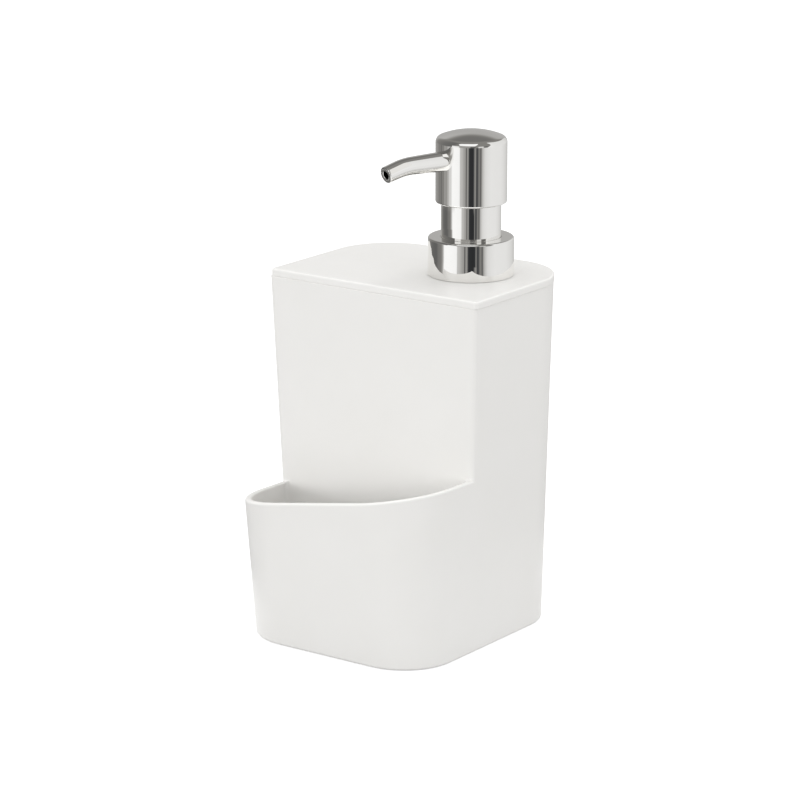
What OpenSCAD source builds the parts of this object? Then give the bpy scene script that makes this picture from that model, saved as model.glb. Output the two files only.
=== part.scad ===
// Soap pump caddy: a white moulded tank with a sponge pocket in front, a loose lid,
// and a chromed hand pump that screws onto the lid's neck.
// Millimetres, +Z up. The origin is the centre of the base, and the pocket faces -Y.

/* [Body] */
// Width at the foot
base_w = 89; // [84:0.5:100]
// Depth at the foot, pocket and tank together
base_d = 100; // [94:0.5:112]
// Height of the tank's mouth
body_h = 139; // [130:1:150]
// Radius of the upright corners at the foot
corner_r = 22; // [16:0.5:24]
// Thickness of the moulded walls
wall = 2.6; // [2:0.1:3.2]
// Thickness of the floor
floor_t = 3; // [2:0.1:4]
// Rounding of the edge that the body stands on
foot_round = 1.2; // [0.6:0.1:2]
// Lean of the two sides, in degrees
side_draft = 2; // [1:0.1:3]
// Lean of the pocket's front, in degrees
front_draft = 7; // [4:0.1:8]
// Lean of the back, in degrees
back_draft = 0.5; // [0:0.1:2]

/* [Tank] */
// Depth of the tank at the foot
tank_base_d = 64.7; // [60:0.1:68]
// Forward lean of the tank's front wall, in degrees
tank_front_draft = 1.8; // [0.5:0.1:2.5]
// Radius of the upright corners inside the tank's front wall
tank_corner_r = 2; // [1:0.1:4]
// Rounding where the tank's walls meet its floor
tank_floor_round = 4; // [2:0.5:6]

/* [Sponge pocket] */
// Height of the rim above the centre of the base
rim_h = 62.6; // [55:0.2:72]
// Slope of the rim from left to right, in degrees
rim_side_slope = 10; // [4:0.5:12]
// Slope of the rim towards the front, in degrees
rim_fore_slope = 1; // [0:0.1:3]
// Rounding where the pocket's walls meet its floor
pocket_floor_round = 3; // [1.5:0.5:5]

/* [Lid] */
// Thickness of the lid's plate
lid_t = 3; // [2:0.1:5]
// Rounding of the lid's top edge
lid_round = 0.8; // [0.3:0.1:1]
// How far the plate's edge stands in from the tank's edge
lid_inset = 0.1; // [0:0.05:0.5]
// Sideways set of the plate's edge, where it stands past the tank
lid_shift = 0.4; // [0:0.05:0.6]
// Radius of the plate's two front corners
lid_corner_r = 1.6; // [1.2:0.1:3]
// Depth of the skirt that hangs into the tank's mouth
skirt_h = 7; // [6:0.5:10]
// Thickness of the skirt
skirt_t = 2.2; // [2:0.1:3]
// Gap between the skirt and the tank's wall at the mouth
skirt_gap = 0.9; // [0.6:0.05:1.2]
// Height of the seal's groove
seal_h = 2.4; // [1.5:0.1:3]
// Depth of the seal's groove
seal_groove = 0.9; // [0.6:0.05:1.2]
// Gap between the seal's lip and the tank's wall
seal_gap = 0.3; // [0.2:0.05:0.4]

/* [Pump place] */
// Pump axis to the right of the middle
pump_x = 20; // [10:0.5:24]
// Pump axis behind the middle of the base
pump_y = 19.5; // [12:0.5:22]

/* [Collar] */
// Radius of the collar
collar_r = 17; // [16.8:0.1:19]
// Height of the collar above the lid
collar_h = 15; // [14:0.5:17]
// Wall of the collar's chromed shell
collar_wall = 0.8; // [0.6:0.1:1]
// Rounding of the collar's top edge
collar_round = 0.8; // [0.4:0.1:1.2]
// Gap under the collar's foot
collar_foot_gap = 0.3; // [0.2:0.05:0.5]
// Thickness of the top of the collar's threaded insert
insert_top_t = 1.1; // [0.9:0.1:1.5]

/* [Neck and threads] */
// Wall of the lid's neck at the root of its thread
neck_wall = 1.75; // [1.5:0.05:2.2]
// Gap between the pump's barrel and the neck's bore
neck_clear = 0.7; // [0.4:0.05:0.9]
// How far each thread ridge stands out
thread_depth = 1.1; // [0.8:0.05:1.2]
// Gap between a ridge's crest and the opposite wall
thread_clear = 0.35; // [0.3:0.05:0.5]
// Rise of the thread in one turn
thread_pitch = 4.23; // [4:0.01:4.6]
// Width of a ridge at its root
thread_root_w = 1.9; // [1.4:0.05:2]
// Width of a ridge at its crest
thread_crest_w = 0.9; // [0.6:0.05:1]
// Height of the neck ridge's start above the lid
thread_start = 2.6; // [2:0.1:3]
// Turns of the neck's ridge
neck_turns = 1.25; // [1:0.05:1.25]
// Turns of the insert's ridge
insert_turns = 1; // [0.75:0.05:1]

/* [Pump barrel] */
// Radius of the barrel's bore
bore_r = 7.5; // [7:0.1:7.8]
// Wall of the barrel
barrel_wall = 1.2; // [1:0.05:1.4]
// Step from the bore out to the guide's socket
barrel_step = 1.5; // [1.3:0.05:1.7]
// Thickness of the barrel's flange
flange_t = 1.2; // [1:0.1:1.5]
// How far the flange overhangs the neck's root
flange_over = 0.35; // [0.2:0.05:0.6]
// Thickness of the gasket under the flange
gasket_t = 0.9; // [0.6:0.1:1.2]
// Thickness of the barrel's floor round the ball seat
barrel_floor = 5; // [4:0.1:6]
// Length of the socket that holds the dip tube
tail_len = 10; // [8:0.5:14]
// Wall of the dip tube's socket
tail_wall = 1.45; // [1.2:0.05:1.8]

/* [Guide] */
// Thickness of the guide's flange
guide_flange_t = 0.9; // [0.7:0.1:1.2]
// Depth of the guide below the barrel's flange
guide_depth = 7; // [5:0.5:9]
// Height of the guide's upper tube
guide_rise = 8; // [5:0.5:10]
// Wall of the guide's tubes
guide_wall = 1; // [0.8:0.05:1.2]
// Thickness of the guide's plate round the stem
guide_plate_t = 2; // [1.5:0.1:3]
// Running gap between the stem and its guide
stem_gap = 0.06; // [0.04:0.01:0.1]

/* [Sleeve] */
// Radius of the sleeve between collar and head
sleeve_r = 11.7; // [11.6:0.05:11.9]
// Wall of the sleeve
sleeve_wall = 0.8; // [0.6:0.05:0.9]
// Gap round the sleeve in the collar's top
sleeve_gap = 0.3; // [0.25:0.05:0.4]
// How far the sleeve reaches into the head at rest
sleeve_overlap = 1.5; // [1:0.1:2.5]

/* [Head] */
// Radius of the head
head_r = 13.9; // [13.6:0.1:14.5]
// Wall of the head's chromed cap
cap_wall = 0.8; // [0.6:0.05:1]
// Height of the head's lower edge above the lid
head_lift = 28.5; // [27:0.5:32]
// Height of the head's crown above the lid
head_rise = 56.8; // [54:0.2:60]
// Radius of the domed crown
dome_r = 33.9; // [28:0.5:60]
// Rounding of the crown's shoulder
shoulder_r = 2.6; // [1.5:0.1:4]
// Rounding of the head's lower edge
head_foot_round = 0.7; // [0.3:0.1:0.75]

/* [Head core] */
// Thickness of the core's web under the crown
web_t = 1.6; // [1.2:0.1:1.8]
// How far the core's foot stands up inside the cap
core_recess = 4; // [2:0.5:6]
// Wall of the core round the stem
core_wall = 2; // [1.5:0.1:2.5]
// Length of stem above the bottom of the outlet ball's chamber
stem_head = 4.8; // [4.6:0.1:5.4]
// Radius of the channel inside the core
channel_r = 1.5; // [1.2:0.1:1.6]

/* [Spout] */
// Depth of the spout's axis below the crown
spout_drop = 10.8; // [9.8:0.1:11.8]
// Turn of the spout to the left of straight ahead, in degrees
spout_turn = 17.5; // [-60:0.5:60]
// Reach of the spout from the pump's axis
spout_reach = 41; // [38:0.5:60]
// Length of the straight run, measured from the pump's axis
spout_straight = 28.6; // [24:0.5:29]
// Radius of the spout's bend
spout_bend_r = 30; // [18:1:36]
// Droop of the spout's end, in degrees
spout_droop = 14.5; // [8:0.5:16]
// Outer radius of the spout at its root
spout_root_r = 3.9; // [3.6:0.05:4]
// Outer radius of the spout at its tip
spout_tip_r = 3.25; // [3:0.05:3.6]
// Radius of the spout's bore
spout_bore_r = 1.65; // [1.2:0.05:2]
// Where the spout's root sits inside the core
spout_seat = 6; // [5:0.1:7]

/* [Stem and piston] */
// Radius of the stem
stem_r = 3.2; // [3.1:0.05:3.4]
// Radius of the stem's bore
stem_bore_r = 1.4; // [1.2:0.05:1.6]
// Radius of the stem's shoulder above the piston
shoulder_ring_r = 4.2; // [4:0.05:4.8]
// Thickness of the stem's shoulder
shoulder_ring_t = 1; // [0.8:0.1:1.4]
// Height of the piston
piston_h = 7; // [6:0.5:9]
// Running gap between the piston's lips and the bore
piston_gap = 0.05; // [0.03:0.01:0.09]
// Height of each of the piston's lips
lip_h = 1.4; // [1:0.1:2]
// How far the piston's waist stands in from its lips
lip_depth = 0.9; // [0.6:0.05:1.2]
// Thickness of the spring's seat on the stem
seat_t = 1.2; // [1:0.1:1.6]
// Radius of the spring's seat on the stem
seat_r = 5.8; // [5.5:0.1:6.4]

/* [Spring] */
// Radius of the spring's wire
wire_r = 0.45; // [0.35:0.05:0.5]
// Mean radius of the spring's coils
coil_r = 4.8; // [4.7:0.05:5]
// Number of coils
coil_turns = 8; // [6:1:9]
// Length of the spring with the head pressed down
spring_pressed = 14; // [12.5:0.5:18]

/* [Valves and dip tube] */
// Radius of the inlet ball
inlet_ball_r = 2.6; // [2.4:0.05:2.7]
// Radius of the outlet ball
outlet_ball_r = 2; // [1.9:0.05:2]
// Lift of the inlet ball
inlet_lift = 1.2; // [0.8:0.1:1.8]
// Lift of the outlet ball
outlet_lift = 1; // [0.6:0.1:1]
// Radius of the throat under the inlet ball
inlet_throat_r = 1.6; // [1.2:0.05:1.7]
// Radius of the throat under the outlet ball
outlet_throat_r = 1.2; // [1:0.05:1.3]
// Length of the throat under the outlet ball
outlet_throat_len = 1; // [0.6:0.1:2]
// Gap round each ball in its chamber
ball_gap = 0.3; // [0.25:0.01:0.35]
// Thickness of the ball cage's base
cage_base_t = 1.2; // [1:0.1:1.6]
// Wall of the ball cage
cage_wall = 0.8; // [0.7:0.05:0.9]
// Width of the ball cage's windows
cage_window = 2; // [1.5:0.1:2.4]
// Outer radius of the dip tube
tube_r = 3.3; // [3:0.05:3.5]
// Wall of the dip tube
tube_wall = 0.9; // [0.6:0.05:1.1]
// Gap between the dip tube's end and the tank's floor
tube_end_gap = 4; // [2:0.5:8]

/* [Hidden] */

// Gap between pieces that are pushed together and turn or slide as one
fit_gap = 0.05;
// Gap between two flat faces that turn on each other
turn_gap = 0.05;
// Gap that moving pieces keep from each other inside the head
inner_clear = 0.6;
// How far a cut runs past the face it opens
overrun = 1;
// Side of the blocks that cut the body along a plane
block = 400;
// Segments of a round surface
smooth = 96;
$fn = smooth;
// Wall of the core's boss round the spout
core_boss_wall = 0.9;
// Steps in a corner and in a small rounding
corner_steps = 12;
round_steps = 4;
arc_steps = 8;
// Steps in a turn of thread, and the part of a ridge over which its ends run out
thread_steps = 24;
runout_share = 0.125;
low_share = 0.05;

lid_top = body_h + lid_t;
collar_top = lid_top + collar_h;
insert_top = collar_top - collar_wall - fit_gap;
guide_top = insert_top - insert_top_t - turn_gap;
flange_top = guide_top - guide_flange_t;
gasket_top = flange_top - flange_t;
neck_top = gasket_top - gasket_t;
head_bottom = lid_top + head_lift;
head_top = lid_top + head_rise;
spout_z = head_top - spout_drop;

socket_r = bore_r + barrel_step;
barrel_r = bore_r + barrel_wall;
barrel_top_r = socket_r + barrel_wall;
neck_bore_r = barrel_top_r + neck_clear;
neck_r = neck_bore_r + neck_wall;
flange_r = neck_r + flange_over;
insert_bore_r = neck_r + thread_depth + thread_clear;
insert_r = collar_r - collar_wall - fit_gap;
sleeve_bore_r = sleeve_r - sleeve_wall;
sleeve_hole_r = sleeve_r + sleeve_gap;

press_stroke = spout_z - spout_root_r - head_bottom - sleeve_overlap - inner_clear;
spring_rest = spring_pressed + press_stroke;
guide_bottom = flange_top - guide_depth;
piston_top = guide_bottom - ball_gap;
piston_bottom = piston_top - piston_h;
seat_bottom = piston_bottom - fit_gap - seat_t;
cage_floor = seat_bottom - spring_rest - cage_base_t;
barrel_bottom = cage_floor - barrel_floor;
tail_bottom = barrel_bottom - tail_len;
inlet_throat_z = cage_floor - inlet_ball_r - ball_gap + inlet_throat_r;
inlet_z = ball_height(inlet_throat_z, inlet_throat_r, inlet_ball_r);
cage_ceiling = inlet_z + inlet_ball_r + inlet_lift + turn_gap;
cage_r = bore_r - fit_gap;
cage_hub_r = inlet_ball_r + ball_gap + cage_wall;
tube_top = barrel_bottom - fit_gap;
tube_bottom = floor_t + tube_end_gap;

stem_top = spout_z - channel_r - core_wall + turn_gap;
outlet_throat_z = stem_top - stem_head;
outlet_z = ball_height(outlet_throat_z, outlet_throat_r, outlet_ball_r);
core_socket_r = stem_r + core_wall;
core_bottom = head_bottom + core_recess;
core_boss_r = spout_root_r + fit_gap + core_boss_wall;
core_boss_end = sleeve_bore_r - inner_clear;
core_disc_r = head_r - cap_wall - fit_gap;
shoulder_tilt = asin((head_r - shoulder_r) / (dome_r - shoulder_r));
shoulder_z = head_top - dome_r + (dome_r - shoulder_r) * cos(shoulder_tilt);
spout_tip_len = (spout_reach - spout_straight - spout_bend_r * sin(spout_droop)) / cos(spout_droop);

// Height of a ball's centre when it rests in a 45 degree seat above a throat
function ball_height(throat_z, throat_r, ball_r) = throat_z - throat_r + (ball_r + fit_gap) * sqrt(2);

// Half the width, the front, the back and the tank's front at a height
function half_w(z) = base_w / 2 + z * tan(side_draft);
function front_y(z) = -base_d / 2 - z * tan(front_draft);
function back_y(z) = base_d / 2 + z * tan(back_draft);
function tank_y(z) = base_d / 2 - tank_base_d - z * tan(tank_front_draft);
function front_r(z) = corner_r + z * (tan(front_draft) + tan(side_draft)) / 2;
function back_r(z) = corner_r + z * (tan(back_draft) + tan(side_draft)) / 2;

// A quarter turn of points about a centre, from one angle on
function quarter(cx, cy, r, start) =
    [for (i = [0:corner_steps]) let (a = start + 90 * i / corner_steps) [cx + r * cos(a), cy + r * sin(a)]];

// A rounded outline: half width, front, back, and the radii of its front and back corners
function outline(w, f, b, rf, rb) = concat(
    quarter(w - rf, f + rf, rf, -90), quarter(w - rb, b - rb, rb, 0),
    quarter(rb - w, b - rb, rb, 90), quarter(rf - w, f + rf, rf, 180));

// The body's outline at a height, drawn in by an inset
function body_outline(z, inset) =
    outline(half_w(z) - inset, front_y(z) + inset, back_y(z) - inset, front_r(z) - inset, back_r(z) - inset);

// The tank's outline at a height, with its own front and front corner radius
function tank_outline(z, inset, r) =
    outline(half_w(z) - inset, tank_y(z) + inset, back_y(z) - inset, r, back_r(z) - inset);

// Points of an outline set at a height and moved sideways
function raised(points, z, dx = 0) = [for (p = points) [p.x + dx, p.y, z]];

// The rise and the inset of a rounding, one entry a step
function rounding(r) = [for (i = [0:round_steps]) let (a = 90 * i / round_steps) [r * (1 - cos(a)), r * (1 - sin(a))]];

// A solid through rings of points that all run anticlockwise seen from above
module loft(rings) {
    n = len(rings[0]);
    last = len(rings) - 1;
    points = [for (ring = rings) each ring];
    sides = [for (i = [0:last - 1]) for (j = [0:n - 1]) let (a = i * n + j, b = i * n + (j + 1) % n)
        each [[a, a + n, b + n], [a, b + n, b]]];
    bottom = [for (j = [0:n - 1]) j];
    top = [for (j = [n - 1:-1:0]) last * n + j];
    polyhedron(points = points, faces = concat([bottom], sides, [top]), convexity = 6);
}

// A solid ring of given outer and inner radius between two heights
module tube(outer, inner, low, high) {
    translate([0, 0, low])
        difference() {
            cylinder(h = high - low, r = outer);
            translate([0, 0, -overrun])
                cylinder(h = high - low + 2 * overrun, r = inner);
        }
}

// Moves its children onto the pump's axis
module at_pump() {
    translate([pump_x, pump_y, 0])
        children();
}

// Turns its children, drawn along +X, to where the spout points
module to_spout() {
    rotate([0, 0, -90 - spout_turn])
        children();
}

// A helical ridge on a cylinder; a negative depth makes it stand inwards
module thread_ridge(r, depth, start_z, turns) {
    root = r - sign(depth) * thread_clear;
    steps = ceil(turns * thread_steps);
    rings = [for (i = [0:steps])
        let (done = i / steps, a = 360 * turns * done, z = start_z + thread_pitch * turns * done)
        let (grown = min(1, done / runout_share, (1 - done) / runout_share), tip = r + depth * max(grown, low_share))
        [for (p = [[root, -thread_root_w / 2], [tip, -thread_crest_w / 2], [tip, thread_crest_w / 2], [root, thread_root_w / 2]])
            [p[0] * cos(a), p[0] * sin(a), z + p[1]]]];
    sweep(rings, depth < 0);
}

// A solid through closed rings along a path; flipped when the rings run the other way
module sweep(rings, flipped = false) {
    n = len(rings[0]);
    last = len(rings) - 1;
    points = [for (ring = rings) each ring];
    sides = [for (i = [0:last - 1]) for (j = [0:n - 1]) let (a = i * n + j, b = i * n + (j + 1) % n)
        each [[a, b, b + n], [a, b + n, a + n]]];
    ends = concat([for (j = [1:n - 2]) [0, j + 1, j]], [for (j = [1:n - 2]) [last * n, last * n + j, last * n + j + 1]]);
    faces = concat(sides, ends);
    polyhedron(points = points, faces = flipped ? [for (f = faces) [f[2], f[1], f[0]]] : faces, convexity = 6);
}

// Everything of the body below the pocket's sloping rim
module below_rim() {
    translate([0, 0, rim_h])
        rotate([-rim_fore_slope, -rim_side_slope, 0])
            translate([-block / 2, -block / 2, -block])
                cube(block);
}

// Everything behind the tank's leaning front
module behind_tank_front() {
    translate([0, base_d / 2 - tank_base_d, 0])
        rotate([tank_front_draft, 0, 0])
            translate([-block / 2, 0, -block / 2])
                cube(block);
}

// The walls and floor of the whole moulding, with the tank's part still solid
module caddy_shell() {
    rings = concat(
        [raised(body_outline(0, foot_round), -overrun)],
        [for (p = rounding(foot_round)) raised(body_outline(p[0], p[1]), p[0])],
        [raised(body_outline(body_h + overrun, 0), body_h + overrun)]);
    pocket = concat(
        [for (p = rounding(pocket_floor_round)) let (z = floor_t + p[0]) raised(body_outline(z, wall + p[1]), z)],
        [raised(body_outline(body_h + 2 * overrun, wall), body_h + 2 * overrun)]);
    intersection() {
        loft(rings);
        union() {
            difference() {
                below_rim();
                loft(pocket);
            }
            behind_tank_front();
        }
        translate([-block / 2, -block / 2, 0])
            cube([block, block, body_h]);
    }
}

module caddy_body() {
    tank = concat(
        [for (p = rounding(tank_floor_round)) let (z = floor_t + p[0])
            raised(tank_outline(z, wall + p[1], tank_corner_r), z)],
        [raised(tank_outline(body_h + overrun, wall, tank_corner_r), body_h + overrun)]);
    color("white")
        difference() {
            caddy_shell();
            loft(tank);
        }
}

// The skirt's outer outline, drawn in further by an inset
function skirt_outline(inset) =
    tank_outline(body_h, wall + skirt_gap + inset, max(tank_corner_r - skirt_gap - inset, lid_round));

module lid_plate() {
    rings = concat(
        [raised(tank_outline(body_h, lid_inset, lid_corner_r), body_h, lid_shift)],
        [for (i = [round_steps:-1:0]) let (p = rounding(lid_round)[i])
            raised(tank_outline(body_h, lid_inset + p[1], lid_corner_r - p[1]), lid_top - p[0], lid_shift)]);
    loft(rings);
}

module tank_lid() {
    skirt_low = body_h - skirt_h;
    groove_low = body_h - (skirt_h + seal_h) / 2;
    color("white")
        difference() {
            union() {
                lid_plate();
                difference() {
                    loft([raised(skirt_outline(0), skirt_low), raised(skirt_outline(0), body_h + lid_t / 2)]);
                    loft([raised(skirt_outline(skirt_t), skirt_low - overrun), raised(skirt_outline(skirt_t), body_h)]);
                    difference() {
                        loft([raised(body_outline(body_h, 0), groove_low), raised(body_outline(body_h, 0), groove_low + seal_h)]);
                        loft([raised(skirt_outline(seal_groove), groove_low - overrun),
                            raised(skirt_outline(seal_groove), groove_low + seal_h + overrun)]);
                    }
                }
                at_pump()
                    translate([0, 0, body_h + lid_t / 2])
                        cylinder(h = neck_top - body_h - lid_t / 2, r = neck_r);
                at_pump()
                    thread_ridge(neck_r, thread_depth, lid_top + thread_start, neck_turns);
            }
            at_pump()
                translate([0, 0, body_h - skirt_h - overrun])
                    cylinder(h = neck_top - body_h + skirt_h + 2 * overrun, r = neck_bore_r);
        }
}

module lid_seal() {
    low = body_h - (skirt_h + seal_h) / 2 + fit_gap;
    high = low + seal_h - 2 * fit_gap;
    lip = skirt_gap - seal_gap - skirt_h * tan(side_draft);
    color("gainsboro")
        difference() {
            loft([raised(skirt_outline(-lip), low), raised(skirt_outline(-lip), high)]);
            loft([raised(skirt_outline(seal_groove - fit_gap), low - overrun),
                raised(skirt_outline(seal_groove - fit_gap), high + overrun)]);
        }
}

module neck_gasket() {
    color("whitesmoke")
        at_pump()
            tube(flange_r, barrel_top_r + fit_gap, neck_top, gasket_top);
}

// The chromed outer shell of the collar
module pump_collar() {
    foot = lid_top + collar_foot_gap;
    edge = [for (i = [0:arc_steps]) let (a = 90 * i / arc_steps)
        [collar_r - collar_round + collar_round * cos(a), collar_top - collar_round + collar_round * sin(a)]];
    profile = concat(
        [[insert_r + fit_gap, foot], [collar_r, foot]], edge,
        [[sleeve_hole_r, collar_top], [sleeve_hole_r, collar_top - collar_wall], [insert_r + fit_gap, collar_top - collar_wall]]);
    color("silver")
        at_pump()
            rotate_extrude()
                polygon(profile);
}

// The threaded insert that the shell is pressed onto
module collar_insert() {
    foot = lid_top + collar_foot_gap;
    color("whitesmoke")
        at_pump()
            union() {
                tube(insert_r, insert_bore_r, foot, insert_top - insert_top_t);
                tube(insert_r, sleeve_hole_r, insert_top - insert_top_t, insert_top);
                thread_ridge(insert_bore_r, -thread_depth, lid_top + thread_start + thread_pitch / 2, insert_turns);
            }
}

module collar_sleeve() {
    color("silver")
        at_pump()
            tube(sleeve_r, sleeve_bore_r, guide_top, head_bottom + sleeve_overlap);
}

// The guide that closes the barrel's top and steers the stem
module stem_guide() {
    upper_r = sleeve_bore_r - fit_gap;
    lower_r = socket_r - fit_gap;
    color("whitesmoke")
        at_pump()
            difference() {
                union() {
                    translate([0, 0, flange_top])
                        cylinder(h = guide_flange_t, r = flange_r);
                    translate([0, 0, guide_bottom])
                        cylinder(h = guide_depth, r = lower_r);
                    translate([0, 0, guide_top])
                        cylinder(h = guide_rise, r = upper_r);
                }
                translate([0, 0, guide_bottom + guide_plate_t])
                    cylinder(h = guide_depth + guide_flange_t + guide_rise, r = lower_r - guide_wall);
                translate([0, 0, guide_top + guide_wall])
                    cylinder(h = guide_rise, r = upper_r - guide_wall);
                translate([0, 0, guide_bottom - overrun])
                    cylinder(h = guide_plate_t + 2 * overrun, r = stem_r + stem_gap);
            }
}

// The barrel's half profile: socket for the dip tube, ball seat, bore, guide's socket and flange
module pump_barrel() {
    tail_bore_r = tube_r + fit_gap;
    step_z = guide_bottom - barrel_wall;
    profile = [
        [inlet_throat_r, barrel_bottom], [tail_bore_r, barrel_bottom],
        [tail_bore_r, tail_bottom], [tail_bore_r + tail_wall, tail_bottom],
        [tail_bore_r + tail_wall, barrel_bottom], [barrel_r, barrel_bottom],
        [barrel_r, step_z], [barrel_top_r, step_z],
        [barrel_top_r, gasket_top], [flange_r, gasket_top],
        [flange_r, flange_top], [socket_r, flange_top],
        [socket_r, guide_bottom], [bore_r, guide_bottom],
        [bore_r, cage_floor], [inlet_ball_r + ball_gap, cage_floor],
        [inlet_throat_r, inlet_throat_z]];
    color("whitesmoke")
        at_pump()
            rotate_extrude()
                polygon(profile);
}

// The cage that keeps the inlet ball over its seat and carries the spring
module ball_cage() {
    top = cage_ceiling + cage_wall;
    color("whitesmoke")
        at_pump()
            difference() {
                union() {
                    translate([0, 0, cage_floor])
                        cylinder(h = cage_base_t, r = cage_r);
                    translate([0, 0, cage_floor])
                        cylinder(h = top - cage_floor, r = cage_hub_r);
                }
                translate([0, 0, cage_floor - overrun])
                    cylinder(h = cage_ceiling - cage_floor + overrun, r = inlet_ball_r + ball_gap);
                translate([0, 0, cage_ceiling - overrun])
                    cylinder(h = cage_wall + 2 * overrun, r = inlet_throat_r);
                for (turn = [0, 90])
                    rotate([0, 0, turn])
                        translate([-cage_hub_r - overrun, -cage_window / 2, cage_floor + cage_base_t])
                            cube([2 * (cage_hub_r + overrun), cage_window, cage_ceiling - cage_floor - cage_base_t - cage_wall]);
            }
}

module inlet_ball() {
    color("lightgray")
        at_pump()
            translate([0, 0, inlet_z])
                sphere(r = inlet_ball_r);
}

module dip_tube() {
    color("whitesmoke")
        at_pump()
            tube(tube_r, tube_r - tube_wall, tube_bottom, tube_top);
}

// The return spring: one helical wire of six sides, eight rings to a coil
coil_rings = 8;
coil_low = cage_floor + cage_base_t + wire_r + fit_gap;
coil_high = seat_bottom - wire_r - fit_gap;
coil_points = [for (i = [0:coil_turns * coil_rings])
    let (a = 360 * i / coil_rings)
    [coil_r * cos(a), coil_r * sin(a), coil_low + (coil_high - coil_low) * i / (coil_turns * coil_rings)]];
coil_gap = min([for (i = [0:len(coil_points) - 1]) for (j = [i + coil_rings / 2:1:len(coil_points) - 1])
    norm(coil_points[i] - coil_points[j])]) - 2 * wire_r;
echo(str("return_spring least gap to itself: ", coil_gap, " mm"));

module return_spring() {
    rings = [for (i = [0:len(coil_points) - 1]) let (p = coil_points[i], a = 360 * i / coil_rings)
        [for (k = [0:5]) let (b = 60 * k)
            [p.x + wire_r * cos(b) * cos(a), p.y + wire_r * cos(b) * sin(a), p.z + wire_r * sin(b)]]];
    color("silver")
        at_pump()
            sweep(rings);
}

// The piston, with a lip at each end and a counterbore for the stem's shoulder
module piston() {
    lip_r = bore_r - piston_gap;
    waist_r = lip_r - lip_depth;
    hole_r = stem_r + stem_gap;
    profile = [
        [hole_r, piston_bottom], [waist_r, piston_bottom], [lip_r, piston_bottom + lip_depth],
        [lip_r, piston_bottom + lip_depth + lip_h], [waist_r, piston_bottom + 2 * lip_depth + lip_h],
        [waist_r, piston_top - 2 * lip_depth - lip_h], [lip_r, piston_top - lip_depth - lip_h],
        [lip_r, piston_top - lip_depth], [waist_r, piston_top],
        [shoulder_ring_r + ball_gap, piston_top], [shoulder_ring_r + ball_gap, piston_top - shoulder_ring_t - turn_gap],
        [hole_r, piston_top - shoulder_ring_t - turn_gap]];
    color("whitesmoke")
        at_pump()
            rotate_extrude()
                polygon(profile);
}

module spring_seat() {
    color("whitesmoke")
        at_pump()
            tube(seat_r, stem_r + fit_gap, seat_bottom, seat_bottom + seat_t);
}

// The hollow stem, with the outlet ball's chamber in its top
module pump_stem() {
    chamber_r = outlet_ball_r + ball_gap;
    throat_bottom = outlet_throat_z - outlet_throat_len;
    profile = [
        [stem_bore_r, seat_bottom], [stem_r, seat_bottom],
        [stem_r, piston_top - shoulder_ring_t], [shoulder_ring_r, piston_top - shoulder_ring_t],
        [shoulder_ring_r, piston_top], [stem_r, piston_top],
        [stem_r, stem_top], [chamber_r, stem_top],
        [chamber_r, outlet_throat_z + chamber_r - outlet_throat_r], [outlet_throat_r, outlet_throat_z],
        [outlet_throat_r, throat_bottom], [stem_bore_r, throat_bottom]];
    color("whitesmoke")
        at_pump()
            rotate_extrude()
                polygon(profile);
}

module outlet_ball() {
    color("lightgray")
        at_pump()
            translate([0, 0, outlet_z])
                sphere(r = outlet_ball_r);
}

// The plastic core that joins cap, stem and spout
module head_core() {
    socket_top = stem_top + turn_gap;
    color("whitesmoke")
        at_pump()
            difference() {
                union() {
                    translate([0, 0, core_bottom])
                        cylinder(h = shoulder_z - core_bottom, r = core_socket_r);
                    translate([0, 0, shoulder_z - web_t])
                        cylinder(h = web_t, r = core_disc_r);
                    to_spout()
                        translate([0, 0, spout_z])
                            rotate([0, 90, 0])
                                cylinder(h = core_boss_end, r = core_boss_r);
                }
                translate([0, 0, core_bottom - overrun])
                    cylinder(h = socket_top - core_bottom + overrun, r = stem_r + fit_gap);
                translate([0, 0, core_bottom])
                    cylinder(h = spout_z - core_bottom, r = channel_r);
                to_spout()
                    translate([0, 0, spout_z])
                        rotate([0, 90, 0])
                            cylinder(h = spout_seat + overrun, r = channel_r);
                to_spout()
                    translate([spout_seat - fit_gap, 0, spout_z])
                        rotate([0, 90, 0])
                            cylinder(h = core_boss_end, r = spout_root_r + fit_gap);
            }
}

// The crown's half profile from the side wall up to the axis, drawn in by a wall
function crown(t) = concat(
    [for (i = [0:arc_steps]) let (a = (90 - shoulder_tilt) * i / arc_steps)
        [head_r - shoulder_r + (shoulder_r - t) * cos(a), shoulder_z + (shoulder_r - t) * sin(a)]],
    [for (i = [1:arc_steps]) let (a = shoulder_tilt * (1 - i / arc_steps))
        [(dome_r - t) * sin(a), head_top - dome_r + (dome_r - t) * cos(a)]]);

// The chromed cap: a tube with a rounded shoulder under a shallow dome
module head_cap() {
    outer = concat(
        [for (i = [0:arc_steps]) let (a = 90 * i / arc_steps)
            [head_r - head_foot_round + head_foot_round * sin(a), head_bottom + head_foot_round - head_foot_round * cos(a)]],
        crown(0));
    inside = crown(cap_wall);
    inner = concat([for (i = [len(inside) - 1:-1:0]) inside[i]], [[head_r - cap_wall, head_bottom]]);
    color("silver")
        at_pump()
            difference() {
                rotate_extrude()
                    polygon(concat(outer, inner));
                to_spout()
                    translate([core_boss_end, 0, spout_z])
                        rotate([0, 90, 0])
                            cylinder(h = head_r, r = spout_root_r + fit_gap);
            }
}

// Height and lean of the spout's axis at an angle round its bend
function bend_s(a) = spout_straight + spout_bend_r * sin(a);
function bend_z(a) = spout_z - spout_bend_r * (1 - cos(a));

// Stations along the spout's axis: reach, height and lean
spout_stations = concat(
    [[spout_seat, spout_z, 0]],
    [for (i = [0:round_steps]) let (a = spout_droop * i / round_steps) [bend_s(a), bend_z(a), a]],
    [[spout_reach, bend_z(spout_droop) - spout_tip_len * sin(spout_droop), spout_droop]]);
spout_sides = 24;

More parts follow.
